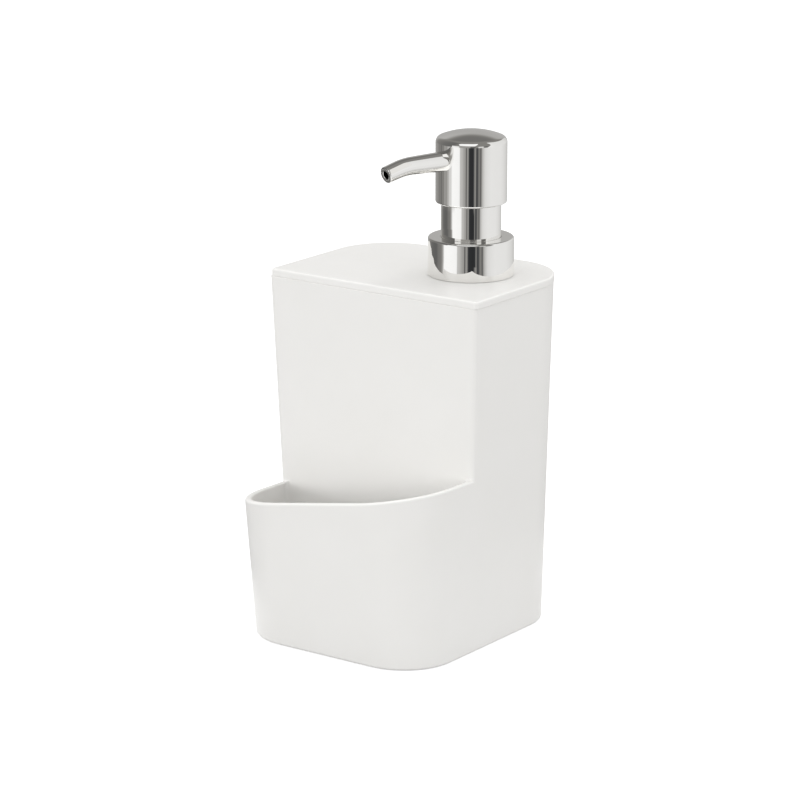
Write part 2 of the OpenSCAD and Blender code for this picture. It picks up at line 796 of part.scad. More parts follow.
// Outer radius of the spout at a reach: even to the head's wall, then a steady taper
function spout_r(s) = spout_root_r - (spout_root_r - spout_tip_r) * max(0, s - head_r) / (spout_reach - head_r);

// A closed ring of the spout at a station, with a given radius
function spout_ring(t, r) = [for (k = [0:spout_sides - 1]) let (b = 360 * k / spout_sides)
    [t[0] + r * cos(b) * sin(t[2]), r * sin(b), t[1] + r * cos(b) * cos(t[2])]];

module spout_tube() {
    entry = [spout_seat - overrun, spout_z, 0];
    exit = [spout_reach + overrun * cos(spout_droop), spout_stations[len(spout_stations) - 1][1] - overrun * sin(spout_droop),
        spout_droop];
    stations = concat([spout_stations[0], [head_r, spout_z, 0]], [for (i = [1:len(spout_stations) - 1]) spout_stations[i]]);
    color("silver")
        at_pump()
            to_spout()
                difference() {
                    sweep([for (t = stations) spout_ring(t, spout_r(t[0]))]);
                    sweep([for (t = concat([entry], spout_stations, [exit])) spout_ring(t, spout_bore_r)]);
                }
}

caddy_body();
tank_lid();
lid_seal();
neck_gasket();
pump_collar();
collar_insert();
collar_sleeve();
stem_guide();
pump_barrel();
ball_cage();
inlet_ball();
dip_tube();
return_spring();
piston();
spring_seat();
pump_stem();
outlet_ball();
head_core();
head_cap();
spout_tube();
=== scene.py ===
# %% [markdown]
# Soap pump caddy, dressed for the studio
#
# The object is a white moulded soap tank with a sponge pocket, a loose lid, and a chromed hand pump.
# The engineering model is loaded as a fixed frame, in metres. The large shapes are then rebuilt as
# smooth surfaces from the same measurements, because a mirror finish shows every facet of a mesh.
# What lies inside keeps its engineering mesh and only gets a finish.

# %% Load the frame
from math import radians

import bmesh
import bpy
import numpy as np
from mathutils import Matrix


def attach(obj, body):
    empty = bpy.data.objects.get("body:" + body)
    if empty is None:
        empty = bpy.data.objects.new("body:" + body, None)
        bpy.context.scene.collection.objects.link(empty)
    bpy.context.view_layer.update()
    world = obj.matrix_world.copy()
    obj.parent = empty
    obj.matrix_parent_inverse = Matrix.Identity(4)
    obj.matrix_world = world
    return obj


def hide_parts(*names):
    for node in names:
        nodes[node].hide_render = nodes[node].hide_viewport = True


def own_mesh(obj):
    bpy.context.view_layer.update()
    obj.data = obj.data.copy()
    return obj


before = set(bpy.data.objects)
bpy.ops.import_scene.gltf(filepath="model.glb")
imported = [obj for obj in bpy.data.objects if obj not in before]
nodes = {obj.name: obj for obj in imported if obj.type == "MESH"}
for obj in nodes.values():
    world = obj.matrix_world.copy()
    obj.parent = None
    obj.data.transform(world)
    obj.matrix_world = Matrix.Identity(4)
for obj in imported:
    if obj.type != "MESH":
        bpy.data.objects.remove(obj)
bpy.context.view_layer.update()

# %% [markdown]
# The camera stands to the right, a little above the lid, with a long lens, as in the photograph.
# Its place was fitted to edges of the object, so verticals stay vertical and little is foreshortened.

# %% Camera
camera_data = bpy.data.cameras.new("studio_camera")
camera_data.sensor_width = 36.0
camera_data.lens = 157.753
camera_data.clip_end = 50.0
camera = bpy.data.objects.new("studio_camera", camera_data)
camera.location = (0.77970, -1.07295, 0.44999)
camera.rotation_euler = (radians(74.8965), 0.0, radians(36.0019))
bpy.context.scene.collection.objects.link(camera)
bpy.context.scene.camera = camera
print("camera at", tuple(round(c, 3) for c in camera.location))

# %% [markdown]
# Every surface below is a grid of points in millimetres, worked out with numpy as whole arrays.
# Three small helpers turn such grids into meshes: one numbers the quads of a grid, one fills a ring
# down to a point, and one writes the mesh in metres, merges its seams and turns its faces outwards.
# A patch below means points together with the arrays of faces that join them.

# %% Grids to meshes
MM = 0.001
MERGE_MM = 0.0005


def grid_quads(rows, cols, closed_rows=False, closed_cols=False):
    """Quads of a rows x cols grid: each joins a point with its neighbours in the next row and column."""
    row, col = np.meshgrid(np.arange(rows if closed_rows else rows - 1),
                           np.arange(cols if closed_cols else cols - 1), indexing="ij")
    next_row, next_col = (row + 1) % rows, (col + 1) % cols
    return np.stack([row * cols + col, row * cols + next_col, next_row * cols + next_col,
                     next_row * cols + col], -1).reshape(-1, 4)


def ring_fan(ring, centre, shares=(1.0, 0.66, 0.33)):
    """A patch that closes a ring: points are centre + share (ring - centre) for each share, with quads
    between the shares and triangles from the last one to the centre."""
    points = np.concatenate([centre + (ring - centre) * share for share in shares] + [centre[None]])
    count = len(ring)
    last = (len(shares) - 1) * count
    here = np.arange(count)
    tips = np.stack([last + here, last + (here + 1) % count, np.full(count, len(points) - 1)], -1)
    return points, grid_quads(len(shares), count, closed_cols=True), tips


def make_piece(name, patches, sharp_deg=None):
    """One mesh object from patches in mm: welded, faces outward, smooth, and placed by its mesh."""
    points, faces, start = [], [], 0
    for patch_points, *face_arrays in patches:
        placed = np.asarray(patch_points, float).reshape(-1, 3) * MM
        points.append(placed)
        for face_array in face_arrays:
            faces += (face_array + start).tolist()
        start += len(placed)
    mesh = bpy.data.meshes.new(name)
    mesh.from_pydata(np.concatenate(points).tolist(), [], faces)
    work = bmesh.new()
    work.from_mesh(mesh)
    bmesh.ops.remove_doubles(work, verts=work.verts, dist=MERGE_MM * MM)
    bmesh.ops.recalc_face_normals(work, faces=work.faces)
    work.to_mesh(mesh)
    work.free()
    mesh.polygons.foreach_set("use_smooth", np.ones(len(mesh.polygons), bool))
    if sharp_deg is not None:
        mesh.set_sharp_from_angle(angle=radians(sharp_deg))
    piece = bpy.data.objects.new(name, mesh)
    bpy.context.scene.collection.objects.link(piece)
    print(name, len(mesh.vertices), "points", len(mesh.polygons), "faces")
    return piece


print("seams are welded within", MERGE_MM, "mm")

# %% [markdown]
# The tank and the pocket are one injection moulding. Its plan is a rounded box whose sides, front and
# back lean by small draft angles, so each corner of the plan moves in a straight line as it rises.
# It could be made with a lofted solid and booleans, but those leave slivers at the mouth of the pocket.
# Here the skin is laid out as matching strips: outside wall, sloping rim, pocket, tank front, mouth
# and inside. They share their edge points and are welded. A Bevel modifier rounds the edges that a
# mould rounds.

# %% Plan of the moulding
BODY_H, WALL, FLOOR_T, FOOT_ROUND = 139.0, 2.6, 3.0, 1.2
CORNER_R, TANK_CORNER_R, LID_T = 22.0, 2.0, 3.0
LEAN = {name: np.tan(np.radians(deg)) for name, deg in
        {"side": 2.0, "front": 7.0, "back": 0.5, "tank": 1.8}.items()}
# The rim's plane: z = RIM[0] + RIM[1] x + RIM[2] y, up to the right and a little up to the front
RIM_SIDE_DEG, RIM_FRONT_DEG = 10.0, 1.0
RIM = (62.6, np.tan(np.radians(RIM_SIDE_DEG)),
       -np.tan(np.radians(RIM_FRONT_DEG)) / np.cos(np.radians(RIM_SIDE_DEG)))
# Half the foot's width and depth, and how far the tank's front stands before the middle at the foot
HALF_WIDTH, HALF_DEPTH, TANK_FRONT = 44.5, 50.0, 14.7


def half_w(z):
    """Half the width at height z: the foot's half width and the lean's share of the height."""
    return HALF_WIDTH + z * LEAN["side"]


def front_y(z):
    """Where the pocket's front stands at height z: the foot's edge, further forward by its lean."""
    return -HALF_DEPTH - z * LEAN["front"]


def back_y(z):
    """Where the back stands at height z: the foot's edge, further back by its lean."""
    return HALF_DEPTH + z * LEAN["back"]


def tank_y(z):
    """Where the tank's front stands at height z: its place at the foot, further forward by its lean."""
    return -TANK_FRONT - z * LEAN["tank"]


def line(start, end, parts):
    """The points that divide each row's way from start to end evenly: start + share (end - start)."""
    share = (np.arange(1, parts) / parts)[None, :, None]
    return start[:, None, :] + (end - start)[:, None, :] * share


def quarter(centre_x, centre_y, r, start_deg, steps):
    """The points of each row's quarter turn from an angle on: centre + r (cos turn, sin turn)."""
    turn = np.radians(start_deg + 90.0 * np.arange(steps + 1) / steps)[None, :]
    return np.stack([centre_x[:, None] + r[:, None] * np.cos(turn),
                     centre_y[:, None] + r[:, None] * np.sin(turn)], -1)


# Steps in a rounded corner, and along the tank's side, the back, the pocket's side and its front
CORNER_N, SIDE_N, BACK_N, POCKET_N, FRONT_N = 18, 6, 6, 3, 7


def body_ring(z, inset=0.0, edge_shift=0.0):
    """Plan of the moulding at heights z, drawn in by an inset: from the tank's right front edge round
    the back to its left front edge, then round the pocket. edge_shift moves those two edges in y."""
    z = np.atleast_1d(np.asarray(z, float))
    inset = np.broadcast_to(inset, z.shape)
    half, front, back = half_w(z) - inset, front_y(z) + inset, back_y(z) - inset
    front_r = CORNER_R + z * (LEAN["front"] + LEAN["side"]) / 2 - inset
    back_r = CORNER_R + z * (LEAN["back"] + LEAN["side"]) / 2 - inset
    edge_y = tank_y(z) + np.broadcast_to(edge_shift, z.shape)
    right, left = np.stack([half, edge_y], -1), np.stack([-half, edge_y], -1)
    back_right = quarter(half - back_r, back - back_r, back_r, 0, CORNER_N)
    back_left = quarter(back_r - half, back - back_r, back_r, 90, CORNER_N)
    front_left = quarter(front_r - half, front + front_r, front_r, 180, CORNER_N)
    front_right = quarter(half - front_r, front + front_r, front_r, 270, CORNER_N)
    return np.concatenate([
        right[:, None], line(right, back_right[:, 0], SIDE_N), back_right,
        line(back_right[:, -1], back_left[:, 0], BACK_N), back_left,
        line(back_left[:, -1], left, SIDE_N), left[:, None],
        line(left, front_left[:, 0], POCKET_N), front_left,
        line(front_left[:, -1], front_right[:, 0], FRONT_N), front_right,
        line(front_right[:, -1], right, POCKET_N)], 1)


LEFT_EDGE = 2 * (SIDE_N - 1) + (BACK_N - 1) + 2 * (CORNER_N + 1) + 1
COLUMNS = body_ring(0.0).shape[1]
TANK_COLS = np.arange(LEFT_EDGE + 1)
POCKET_COLS = np.append(np.arange(LEFT_EDGE, COLUMNS), 0)
print("columns", COLUMNS, "tank", len(TANK_COLS), "pocket", len(POCKET_COLS))

# %% [markdown]
# A column of the wall is a straight line in space, so it is kept as its point at height 0 and its run
# per millimetre of height. Where it meets the sloping rim then has a closed formula.

# %% Columns and the sloping rim
def wall_columns(inset=0.0, edge_shift=0.0):
    """Each column's plan point at height 0, and how far it moves for each mm it rises."""
    rows = body_ring(np.array([0.0, 1.0]), inset, edge_shift)
    return rows[0], rows[1] - rows[0]


def rim_height(base, run):
    """Height where a column meets the rim's plane z = level + across x + along y, solved for z."""
    level, across, along = RIM
    return (level + across * base[:, 0] + along * base[:, 1]) / (1 - across * run[:, 0] - along * run[:, 1])


def rise(base, run, low, high, steps):
    """Grid of rows on the columns, from heights low to heights high in even steps: (base + z run, z)."""
    share = np.linspace(0, 1, steps + 1)[:, None]
    z = np.broadcast_to(low, len(base)) * (1 - share) + np.broadcast_to(high, len(base)) * share
    return np.concatenate([base[None] + z[..., None] * run[None], z[..., None]], -1)


def rounding(r, steps):
    """Rise and inset of a quarter round foot: z = r (1 - cos turn), inset = r (1 - sin turn)."""
    turn = np.radians(np.linspace(0, 90, steps + 1))
    return r * (1 - np.cos(turn)), r * (1 - np.sin(turn))


def raised_rows(plan_rows, z):
    """Plan rows as points in space: every row gets its one height z."""
    heights = np.broadcast_to(np.asarray(z)[:, None, None], plan_rows.shape[:2] + (1,))
    return np.concatenate([plan_rows, heights], -1)


def front_line(z, left_x, right_x, shift, parts):
    """Points across the tank's front from right to left at heights z, without the ends."""
    y = tank_y(z) + shift
    return line(np.stack([right_x, y], -1), np.stack([left_x, y], -1), parts)


# Steps across the tank's front, in a rounding, up to the rim, and from the rim to the mouth
SPAN_N, ROUND_N, LOW_N, HIGH_N = 12, 6, 8, 9
outer_base, outer_run = wall_columns()
inner_base, inner_run = wall_columns(WALL)
outer_rim_z, inner_rim_z = rim_height(outer_base, outer_run), rim_height(inner_base, inner_run)
print("rim from", round(outer_rim_z.min(), 1), "to", round(outer_rim_z.max(), 1), "mm high")

# %% Outside wall, foot and rim strip
foot_z, foot_inset = rounding(FOOT_ROUND, ROUND_N)
foot_rows = raised_rows(body_ring(foot_z, foot_inset), foot_z)
lower_wall = np.concatenate([foot_rows[:-1], rise(outer_base, outer_run, FOOT_ROUND, outer_rim_z, LOW_N)])
upper_wall = rise(outer_base[TANK_COLS], outer_run[TANK_COLS], outer_rim_z[TANK_COLS], BODY_H, HIGH_N)
outer_rim = lower_wall[-1][POCKET_COLS]
inner_rim = rise(inner_base, inner_run, inner_rim_z, inner_rim_z, 1)[0][POCKET_COLS]
rim_strip = np.stack([outer_rim, inner_rim])
foot_fan = ring_fan(foot_rows[0], np.zeros(3))
print("outside wall", lower_wall.shape, "and", upper_wall.shape)

# %% Pocket and tank front
# Heights 0 and 1 give a column's base and run, and the half width inside the walls at both
z01 = np.array([0.0, 1.0])
inner_half = half_w(z01) - WALL
span = front_line(z01, -inner_half, inner_half, 0.0, SPAN_N)
span_base, span_run = span[0], span[1] - span[0]
pocket_base = np.concatenate([inner_base[POCKET_COLS], span_base])
pocket_run = np.concatenate([inner_run[POCKET_COLS], span_run])
span_rim_z = rim_height(span_base, span_run)
pocket_top = np.concatenate([inner_rim_z[POCKET_COLS], span_rim_z])
POCKET_FILLET, TANK_FILLET, POCKET_MIDDLE, TANK_MIDDLE = 3.0, 4.0, -35.0, 17.0
pocket_wall = rise(pocket_base, pocket_run, FLOOR_T + POCKET_FILLET, pocket_top, LOW_N)


def closed_floor(fillet, wall_cols, edge_sign, spans, centre_y):
    """Fillet rows and floor of a hollow: its ring is drawn in by r (1 - sin turn) while it sinks by
    r (1 - cos turn). The sign says to which side of the tank's front the hollow lies."""
    rise_z, inset = rounding(fillet, ROUND_N)
    z = FLOOR_T + rise_z
    inner = WALL + inset
    shift = edge_sign * inset + (WALL if edge_sign > 0 else 0.0)
    ring = body_ring(z, inner, shift)[:, wall_cols]
    ends = half_w(z) - inner
    across = front_line(z, -ends, ends, shift, spans)[:, ::-edge_sign]
    rows = raised_rows(np.concatenate([ring, across], 1), z)
    return rows, ring_fan(rows[0], np.array([0.0, centre_y, FLOOR_T]))


pocket_fillet, pocket_floor = closed_floor(POCKET_FILLET, POCKET_COLS, -1, SPAN_N, POCKET_MIDDLE)
tank_front_base = np.concatenate([outer_base[[LEFT_EDGE]], inner_base[[LEFT_EDGE]], span_base[::-1],
                                  inner_base[[0]], outer_base[[0]]])
tank_front_run = np.concatenate([outer_run[[LEFT_EDGE]], inner_run[[LEFT_EDGE]], span_run[::-1],
                                 inner_run[[0]], outer_run[[0]]])
tank_front_low = rim_height(tank_front_base, tank_front_run)
tank_front = rise(tank_front_base, tank_front_run, tank_front_low, BODY_H, HIGH_N)
print("pocket wall", pocket_wall.shape, "tank front", tank_front.shape)

# %% Mouth and tank inside
tank_in_base, tank_in_run = wall_columns(WALL, WALL)
tank_in_base, tank_in_run = tank_in_base[TANK_COLS], tank_in_run[TANK_COLS]
inside_span = front_line(z01, -inner_half, inner_half, WALL, SPAN_N + 2)[:, ::-1]
tank_in_base = np.concatenate([tank_in_base, inside_span[0]])
tank_in_run = np.concatenate([tank_in_run, inside_span[1] - inside_span[0]])
tank_wall = rise(tank_in_base, tank_in_run, FLOOR_T + TANK_FILLET, BODY_H, HIGH_N)
tank_fillet, tank_floor = closed_floor(TANK_FILLET, TANK_COLS, 1, SPAN_N + 2, TANK_MIDDLE)
mouth_outer = np.concatenate([upper_wall[-1], tank_front[-1][1:-1]])
mouth_inner = tank_wall[-1]
mouth = np.stack([mouth_outer, mouth_inner])

body_patches = [
    (lower_wall, grid_quads(lower_wall.shape[0], COLUMNS, closed_cols=True)),
    (upper_wall, grid_quads(*upper_wall.shape[:2])),
    (rim_strip, grid_quads(*rim_strip.shape[:2])),
    (pocket_wall, grid_quads(*pocket_wall.shape[:2], closed_cols=True)),
    (pocket_fillet, grid_quads(*pocket_fillet.shape[:2], closed_cols=True)),
    (tank_front, grid_quads(*tank_front.shape[:2])),
    (mouth, grid_quads(*mouth.shape[:2], closed_cols=True)),
    (tank_wall, grid_quads(*tank_wall.shape[:2], closed_cols=True)),
    (tank_fillet, grid_quads(*tank_fillet.shape[:2], closed_cols=True)),
    foot_fan, pocket_floor, tank_floor]
moulded_body = make_piece("moulded_body", body_patches)

# %% [markdown]
# The mould's edges are rounded by different amounts: the rim of the pocket by about 1 mm, the tank's
# two front edges by about 2 mm, the mouth only a little. The Bevel modifier takes one width, so each
# edge carries its share of it as a weight. The Weighted Normal modifier then keeps the large faces
# flat next to the roundings.

# %% Rounded edges of the moulding
BEVEL_MM = 2.0
NEAR_MM = 0.002
EDGE_MM = {"tank front": 1.8, "rim": 1.0, "rim end": 0.6, "pocket corner": 2.0, "mouth outside": 0.35,
           "mouth inside": 0.3}


def weigh_edges(piece, marks):
    """Gives an edge the bevel share width / BEVEL_MM of the first set of points that holds both its ends."""
    mesh = piece.data
    place = np.empty(len(mesh.vertices) * 3)
    mesh.vertices.foreach_get("co", place)
    place = place.reshape(-1, 3) / MM
    ends = np.empty(len(mesh.edges) * 2, int)
    mesh.edges.foreach_get("vertices", ends)
    ends = ends.reshape(-1, 2)
    weight = np.zeros(len(ends), np.float32)
    for points, width in marks:
        held = (np.abs(place[:, None] - np.asarray(points)[None]).max(-1).min(1) < NEAR_MM)
        both = held[ends].all(1) & (weight == 0)
        weight[both] = width / BEVEL_MM
        print("edges rounded by", width, "mm:", int(both.sum()))
    layer = mesh.attributes.new("bevel_weight_edge", "FLOAT", "EDGE")
    layer.data.foreach_set("value", weight)


weigh_edges(moulded_body, [
    (upper_wall[:, 0], EDGE_MM["tank front"]), (upper_wall[:, -1], EDGE_MM["tank front"]),
    (outer_rim, EDGE_MM["rim"]), (inner_rim, EDGE_MM["rim"]),
    (np.stack([outer_rim[0], inner_rim[0]]), EDGE_MM["rim end"]),
    (np.stack([outer_rim[-1], inner_rim[-1]]), EDGE_MM["rim end"]),
    (pocket_wall[:, 0], EDGE_MM["pocket corner"]),
    (pocket_wall[:, len(POCKET_COLS) - 1], EDGE_MM["pocket corner"]),
    (mouth_outer, EDGE_MM["mouth outside"]), (mouth_inner, EDGE_MM["mouth inside"]),
    (tank_wall[:, 0], TANK_CORNER_R), (tank_wall[:, LEFT_EDGE], TANK_CORNER_R)])
bevel = moulded_body.modifiers.new("mould_radii", "BEVEL")
bevel.limit_method = "WEIGHT"
bevel.width = BEVEL_MM * MM
bevel.segments = 4
bevel.use_clamp_overlap = False
even_normals = moulded_body.modifiers.new("flat_faces_stay_flat", "WEIGHTED_NORMAL")
even_normals.keep_sharp = False
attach(moulded_body, "caddy")
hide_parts("caddy_body")

# %% [markdown]
# The lid is a plate with a rounded top edge. Under it a skirt with a groove for the rubber ring hangs
# in the tank's mouth, and a threaded neck stands on it. All of that can be one surface if every loop
# of it has the same columns: rays from the pump's axis. A plan curve is then read off by angle.

# %% Lid plans by angle
PUMP = np.array([20.0, 19.5])
LID_TOP = BODY_H + LID_T
NECK_R, NECK_BORE_R, NECK_TOP = 12.65, 10.9, 152.0
LID_SHIFT = np.array([0.4, 0.0])
LID_INSET, LID_CORNER_R, LID_ROUND = 0.1, 1.6, 0.8
# Steps in a front and a back corner of a plan, and how finely by_angle divides each of its steps
PLAN_FRONT_N, PLAN_BACK_N, FINE = 12, 24, 60
RAY_STEP_DEG, RAY_APART_DEG = 2.0, 0.05


def tank_plan(inset, r):
    """The tank's plan at its mouth, drawn in by an inset, with front corners of radius r."""
    z = np.array([BODY_H])
    half, front, back = half_w(z) - inset, tank_y(z) + inset, back_y(z) - inset
    back_r = CORNER_R + z * (LEAN["back"] + LEAN["side"]) / 2 - inset
    r = np.array([max(r, 0.05)])
    return np.concatenate([quarter(half - r, front + r, r, -90, PLAN_FRONT_N),
                           quarter(half - back_r, back - back_r, back_r, 0, PLAN_BACK_N),
                           quarter(back_r - half, back - back_r, back_r, 90, PLAN_BACK_N),
                           quarter(r - half, front + r, r, 180, PLAN_FRONT_N)], 1)[0]


def by_angle(plan, angles):
    """Where rays from the pump's axis at these angles cross a closed plan: the plan is divided finely
    and read off between its divisions."""
    closed = np.concatenate([plan, plan[:1]])
    way = np.linspace(0, len(plan), FINE * len(plan), endpoint=False)
    fine = np.stack([np.interp(way, np.arange(len(closed)), closed[:, k]) for k in (0, 1)], -1)
    turn = np.unwrap(np.arctan2(fine[:, 1] - PUMP[1], fine[:, 0] - PUMP[0]))
    turn, wrapped = np.concatenate([turn - 2 * np.pi, turn, turn + 2 * np.pi]), np.tile(fine, (3, 1))
    return np.stack([np.interp(angles, turn, wrapped[:, k]) for k in (0, 1)], -1)


def plan_angles(plan):
    """Angle of each point of a plan as seen from the pump's axis, from 0 to a full turn."""
    return np.mod(np.arctan2(plan[:, 1] - PUMP[1], plan[:, 0] - PUMP[0]), 2 * np.pi)


lid_plan = tank_plan(LID_INSET, LID_CORNER_R) + LID_SHIFT
even_rays = np.radians(np.arange(0, 360, RAY_STEP_DEG))
ray = np.unique(np.round(np.concatenate([plan_angles(lid_plan), even_rays]), 4))
ray = ray[np.append(np.diff(ray) > radians(RAY_APART_DEG), True)]
print("rays", len(ray))

# %% Lid surface
THREAD = {"depth": 1.1, "pitch": 4.23, "root": 1.9, "crest": 0.9, "start": 2.6, "turns": 1.25,
          "runout": 0.125}


def neck_radius(angle, z):
    """Neck radius plus the thread's depth times a share: 1 on the crest, falling evenly to 0 at the root's
    edge, along a line that climbs by the pitch each turn, and fading to 0 at both ends of the thread."""
    grown = np.zeros(np.broadcast(angle, z).shape)
    for turn in (0, 1):
        done = (angle / (2 * np.pi) + turn) / THREAD["turns"]
        off = np.abs(z - (LID_TOP + THREAD["start"] + THREAD["pitch"] * THREAD["turns"] * done))
        flank = np.clip((THREAD["root"] / 2 - off) / ((THREAD["root"] - THREAD["crest"]) / 2), 0, 1)
        ends = np.clip(np.minimum(done, 1 - done) / THREAD["runout"], 0, 1)
        grown = np.maximum(grown, flank * ends)
    return NECK_R + THREAD["depth"] * grown


def circle_rows(r, z):
    """Rows of points at radius r (one number, or one for each ray) about the pump's axis."""
    z = np.atleast_1d(z)[:, None]
    r = np.broadcast_to(r, (len(z), len(ray)))
    return np.stack([PUMP[0] + r * np.cos(ray), PUMP[1] + r * np.sin(ray), np.broadcast_to(z, r.shape)], -1)


def plan_row(plan, z):
    """One row of points where the rays cross a plan, all at height z."""
    xy = by_angle(plan, ray)
    return np.concatenate([xy, np.full((len(ray), 1), z)], 1)[None]


NECK_LIP, NECK_N, LID_ROUND_N, SKIRT = 0.3, 34, 7, 3.5
neck_z = np.linspace(NECK_TOP - NECK_LIP, LID_TOP + 0.4, NECK_N)
top_round = []
for turn in np.radians(np.linspace(0, 90, LID_ROUND_N)):
    drawn_in = LID_ROUND * (1 - np.sin(turn))
    top_round.append(plan_row(tank_plan(LID_INSET + drawn_in, LID_CORNER_R - drawn_in) + LID_SHIFT,
                              LID_TOP - LID_ROUND * (1 - np.cos(turn))))
# The skirt's inset from SKIRT and its height: outside with the groove, round the foot, up the inside
skirt = [plan_row(tank_plan(SKIRT + inset, 0.8), z) for inset, z in
         [(0, 139.0), (0, 136.7), (0.9, 136.7), (0.9, 134.3), (0, 134.3), (0, 132.3), (0.3, 132.0),
          (1.9, 132.0), (2.2, 132.3), (2.2, 139.0)]]
lid_rows = np.concatenate([
    circle_rows(NECK_BORE_R, [BODY_H, NECK_TOP - NECK_LIP]),
    circle_rows(NECK_BORE_R + NECK_LIP, NECK_TOP),
    circle_rows(NECK_R - NECK_LIP, NECK_TOP),
    circle_rows(neck_radius(ray[None], neck_z[:, None]), neck_z),
    circle_rows(NECK_R + 0.1, LID_TOP + 0.1),
    circle_rows(NECK_R + 0.5, LID_TOP),
    *top_round,
    plan_row(lid_plan, BODY_H + 0.2),
    plan_row(tank_plan(0.3, 1.4) + LID_SHIFT, BODY_H),
    *skirt])
lid_moulding = make_piece("lid_moulding", [(lid_rows, grid_quads(*lid_rows.shape[:2], True, True))], 40)
even_normals = lid_moulding.modifiers.new("flat_faces_stay_flat", "WEIGHTED_NORMAL")
even_normals.keep_sharp = True
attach(lid_moulding, "lid")
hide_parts("tank_lid")

# %% [markdown]
# The head, the sleeve and the collar's shell are thin chromed turnings, round about one axis. A lathe
# turns a profile of radius and height. Mirror finishes need true normals, so each corner of the profile
# is an arc with a support point close to each of its ends, which keeps the long walls straight in the
# reflection.

# %% Lathe
SUPPORT_MM, ARC_N, LATHE_N = 0.04, 9, 192


def rounded_profile(corners):
    """Profile (radius, height) through corners given as (r, z, rounding): a rounded corner becomes an arc
    tangent to both of its sides, with support points just outside the arc. With half the angle between
    the sides, the arc starts rounding / tan(half) from the corner and its centre is rounding / sin(half)
    from it."""
    points = np.array([corner[:2] for corner in corners], float)
    pieces = []
    for k, (_, _, fillet) in enumerate(corners):
        corner, before, after = points[k], points[k - 1], points[(k + 1) % len(points)]
        if fillet == 0:
            pieces.append(corner[None])
            continue
        to_before = (before - corner) / np.linalg.norm(before - corner)
        to_after = (after - corner) / np.linalg.norm(after - corner)
        half = np.arccos(np.clip(to_before @ to_after, -1, 1)) / 2
        reach = fillet / np.tan(half)
        inward = (to_before + to_after) / np.linalg.norm(to_before + to_after)
        centre = corner + inward * fillet / np.sin(half)
        first, last = (np.arctan2(*(corner + way * reach - centre)[::-1]) for way in (to_before, to_after))
        sweep = (last - first + np.pi) % (2 * np.pi) - np.pi
        turn = first + sweep * np.linspace(0, 1, ARC_N)
        arc = centre + fillet * np.stack([np.cos(turn), np.sin(turn)], -1)
        pieces += [(corner + to_before * (reach + SUPPORT_MM))[None], arc,
                   (corner + to_after * (reach + SUPPORT_MM))[None]]
    return np.concatenate(pieces)


def lathe(name, profile, poles=False):
    """Turns a closed profile about the pump's axis: x and y are the axis plus radius times cos and sin of
    the turn, z is the height. With poles, the first and last points lie on the axis."""
    turn = 2 * np.pi * np.arange(LATHE_N) / LATHE_N
    wall = profile[1:-1] if poles else profile
    rows = np.stack([PUMP[0] + wall[:, :1] * np.cos(turn), PUMP[1] + wall[:, :1] * np.sin(turn),
                     np.broadcast_to(wall[:, 1:], (len(wall), LATHE_N))], -1)
    patches = [(rows, grid_quads(len(wall), LATHE_N, closed_rows=not poles, closed_cols=True))]
    if poles:
        here = np.arange(LATHE_N)
        fan = np.stack([here, (here + 1) % LATHE_N, np.full(LATHE_N, LATHE_N)], -1)
        for end, row in ((profile[0], rows[0]), (profile[-1], rows[-1])):
            tip = np.array([[PUMP[0], PUMP[1], end[1]]])
            patches.append((np.concatenate([row, tip]), fan))
    return make_piece(name, patches)


print("a lathe of", LATHE_N, "steps a turn and", ARC_N, "points an arc")

# %% Chromed shells
COLLAR_TOP, HEAD_FOOT, HEAD_TOP = 157.0, 170.5, 198.8
HEAD_R, DOME_R, SHOULDER_R, CAP_WALL = 13.9, 33.9, 2.6, 0.8
DOME_N, SHOULDER_N = 26, 22
tilt = np.arcsin((HEAD_R - SHOULDER_R) / (DOME_R - SHOULDER_R))
shoulder_z = HEAD_TOP - DOME_R + (DOME_R - SHOULDER_R) * np.cos(tilt)


def crown(inward):
    """Dome and shoulder, a wall's thickness inward: an arc about the dome's centre, then an arc about the
    shoulder's centre, from the axis outwards."""
    dome_turn = tilt * np.linspace(0, 1, DOME_N)
    shoulder_turn = tilt + (np.pi / 2 - tilt) * np.linspace(0, 1, SHOULDER_N + 1)[1:]
    dome_r, shoulder_r = DOME_R - inward, SHOULDER_R - inward
    dome = np.stack([dome_r * np.sin(dome_turn), HEAD_TOP - DOME_R + dome_r * np.cos(dome_turn)], -1)
    shoulder = np.stack([HEAD_R - SHOULDER_R + shoulder_r * np.sin(shoulder_turn),
                         shoulder_z + shoulder_r * np.cos(shoulder_turn)], -1)
    return np.concatenate([dome, shoulder])


# The cap's foot is rounded more outside than inside; its walls carry on to the shoulder from mid height
CAP_MID = 180.0
foot_arc = rounded_profile([(HEAD_R, CAP_MID, 0), (HEAD_R, HEAD_FOOT, 0.7),
                            (HEAD_R - CAP_WALL, HEAD_FOOT, 0.1), (HEAD_R - CAP_WALL, CAP_MID, 0)])
head_profile = np.concatenate([crown(0), [[HEAD_R, shoulder_z - SUPPORT_MM]], foot_arc,
                               [[HEAD_R - CAP_WALL, shoulder_z - SUPPORT_MM]], crown(CAP_WALL)[::-1]])
chrome_head = lathe("chrome_head", head_profile, poles=True)
SLEEVE_R, SLEEVE_BORE_R, SLEEVE_FOOT, SLEEVE_TOP, SLEEVE_ROUND = 11.7, 10.9, 155.0, 172.0, 0.15
chrome_sleeve = lathe("chrome_sleeve", rounded_profile([
    (SLEEVE_R, SLEEVE_FOOT, SLEEVE_ROUND), (SLEEVE_R, SLEEVE_TOP, SLEEVE_ROUND),
    (SLEEVE_BORE_R, SLEEVE_TOP, SLEEVE_ROUND), (SLEEVE_BORE_R, SLEEVE_FOOT, SLEEVE_ROUND)]))
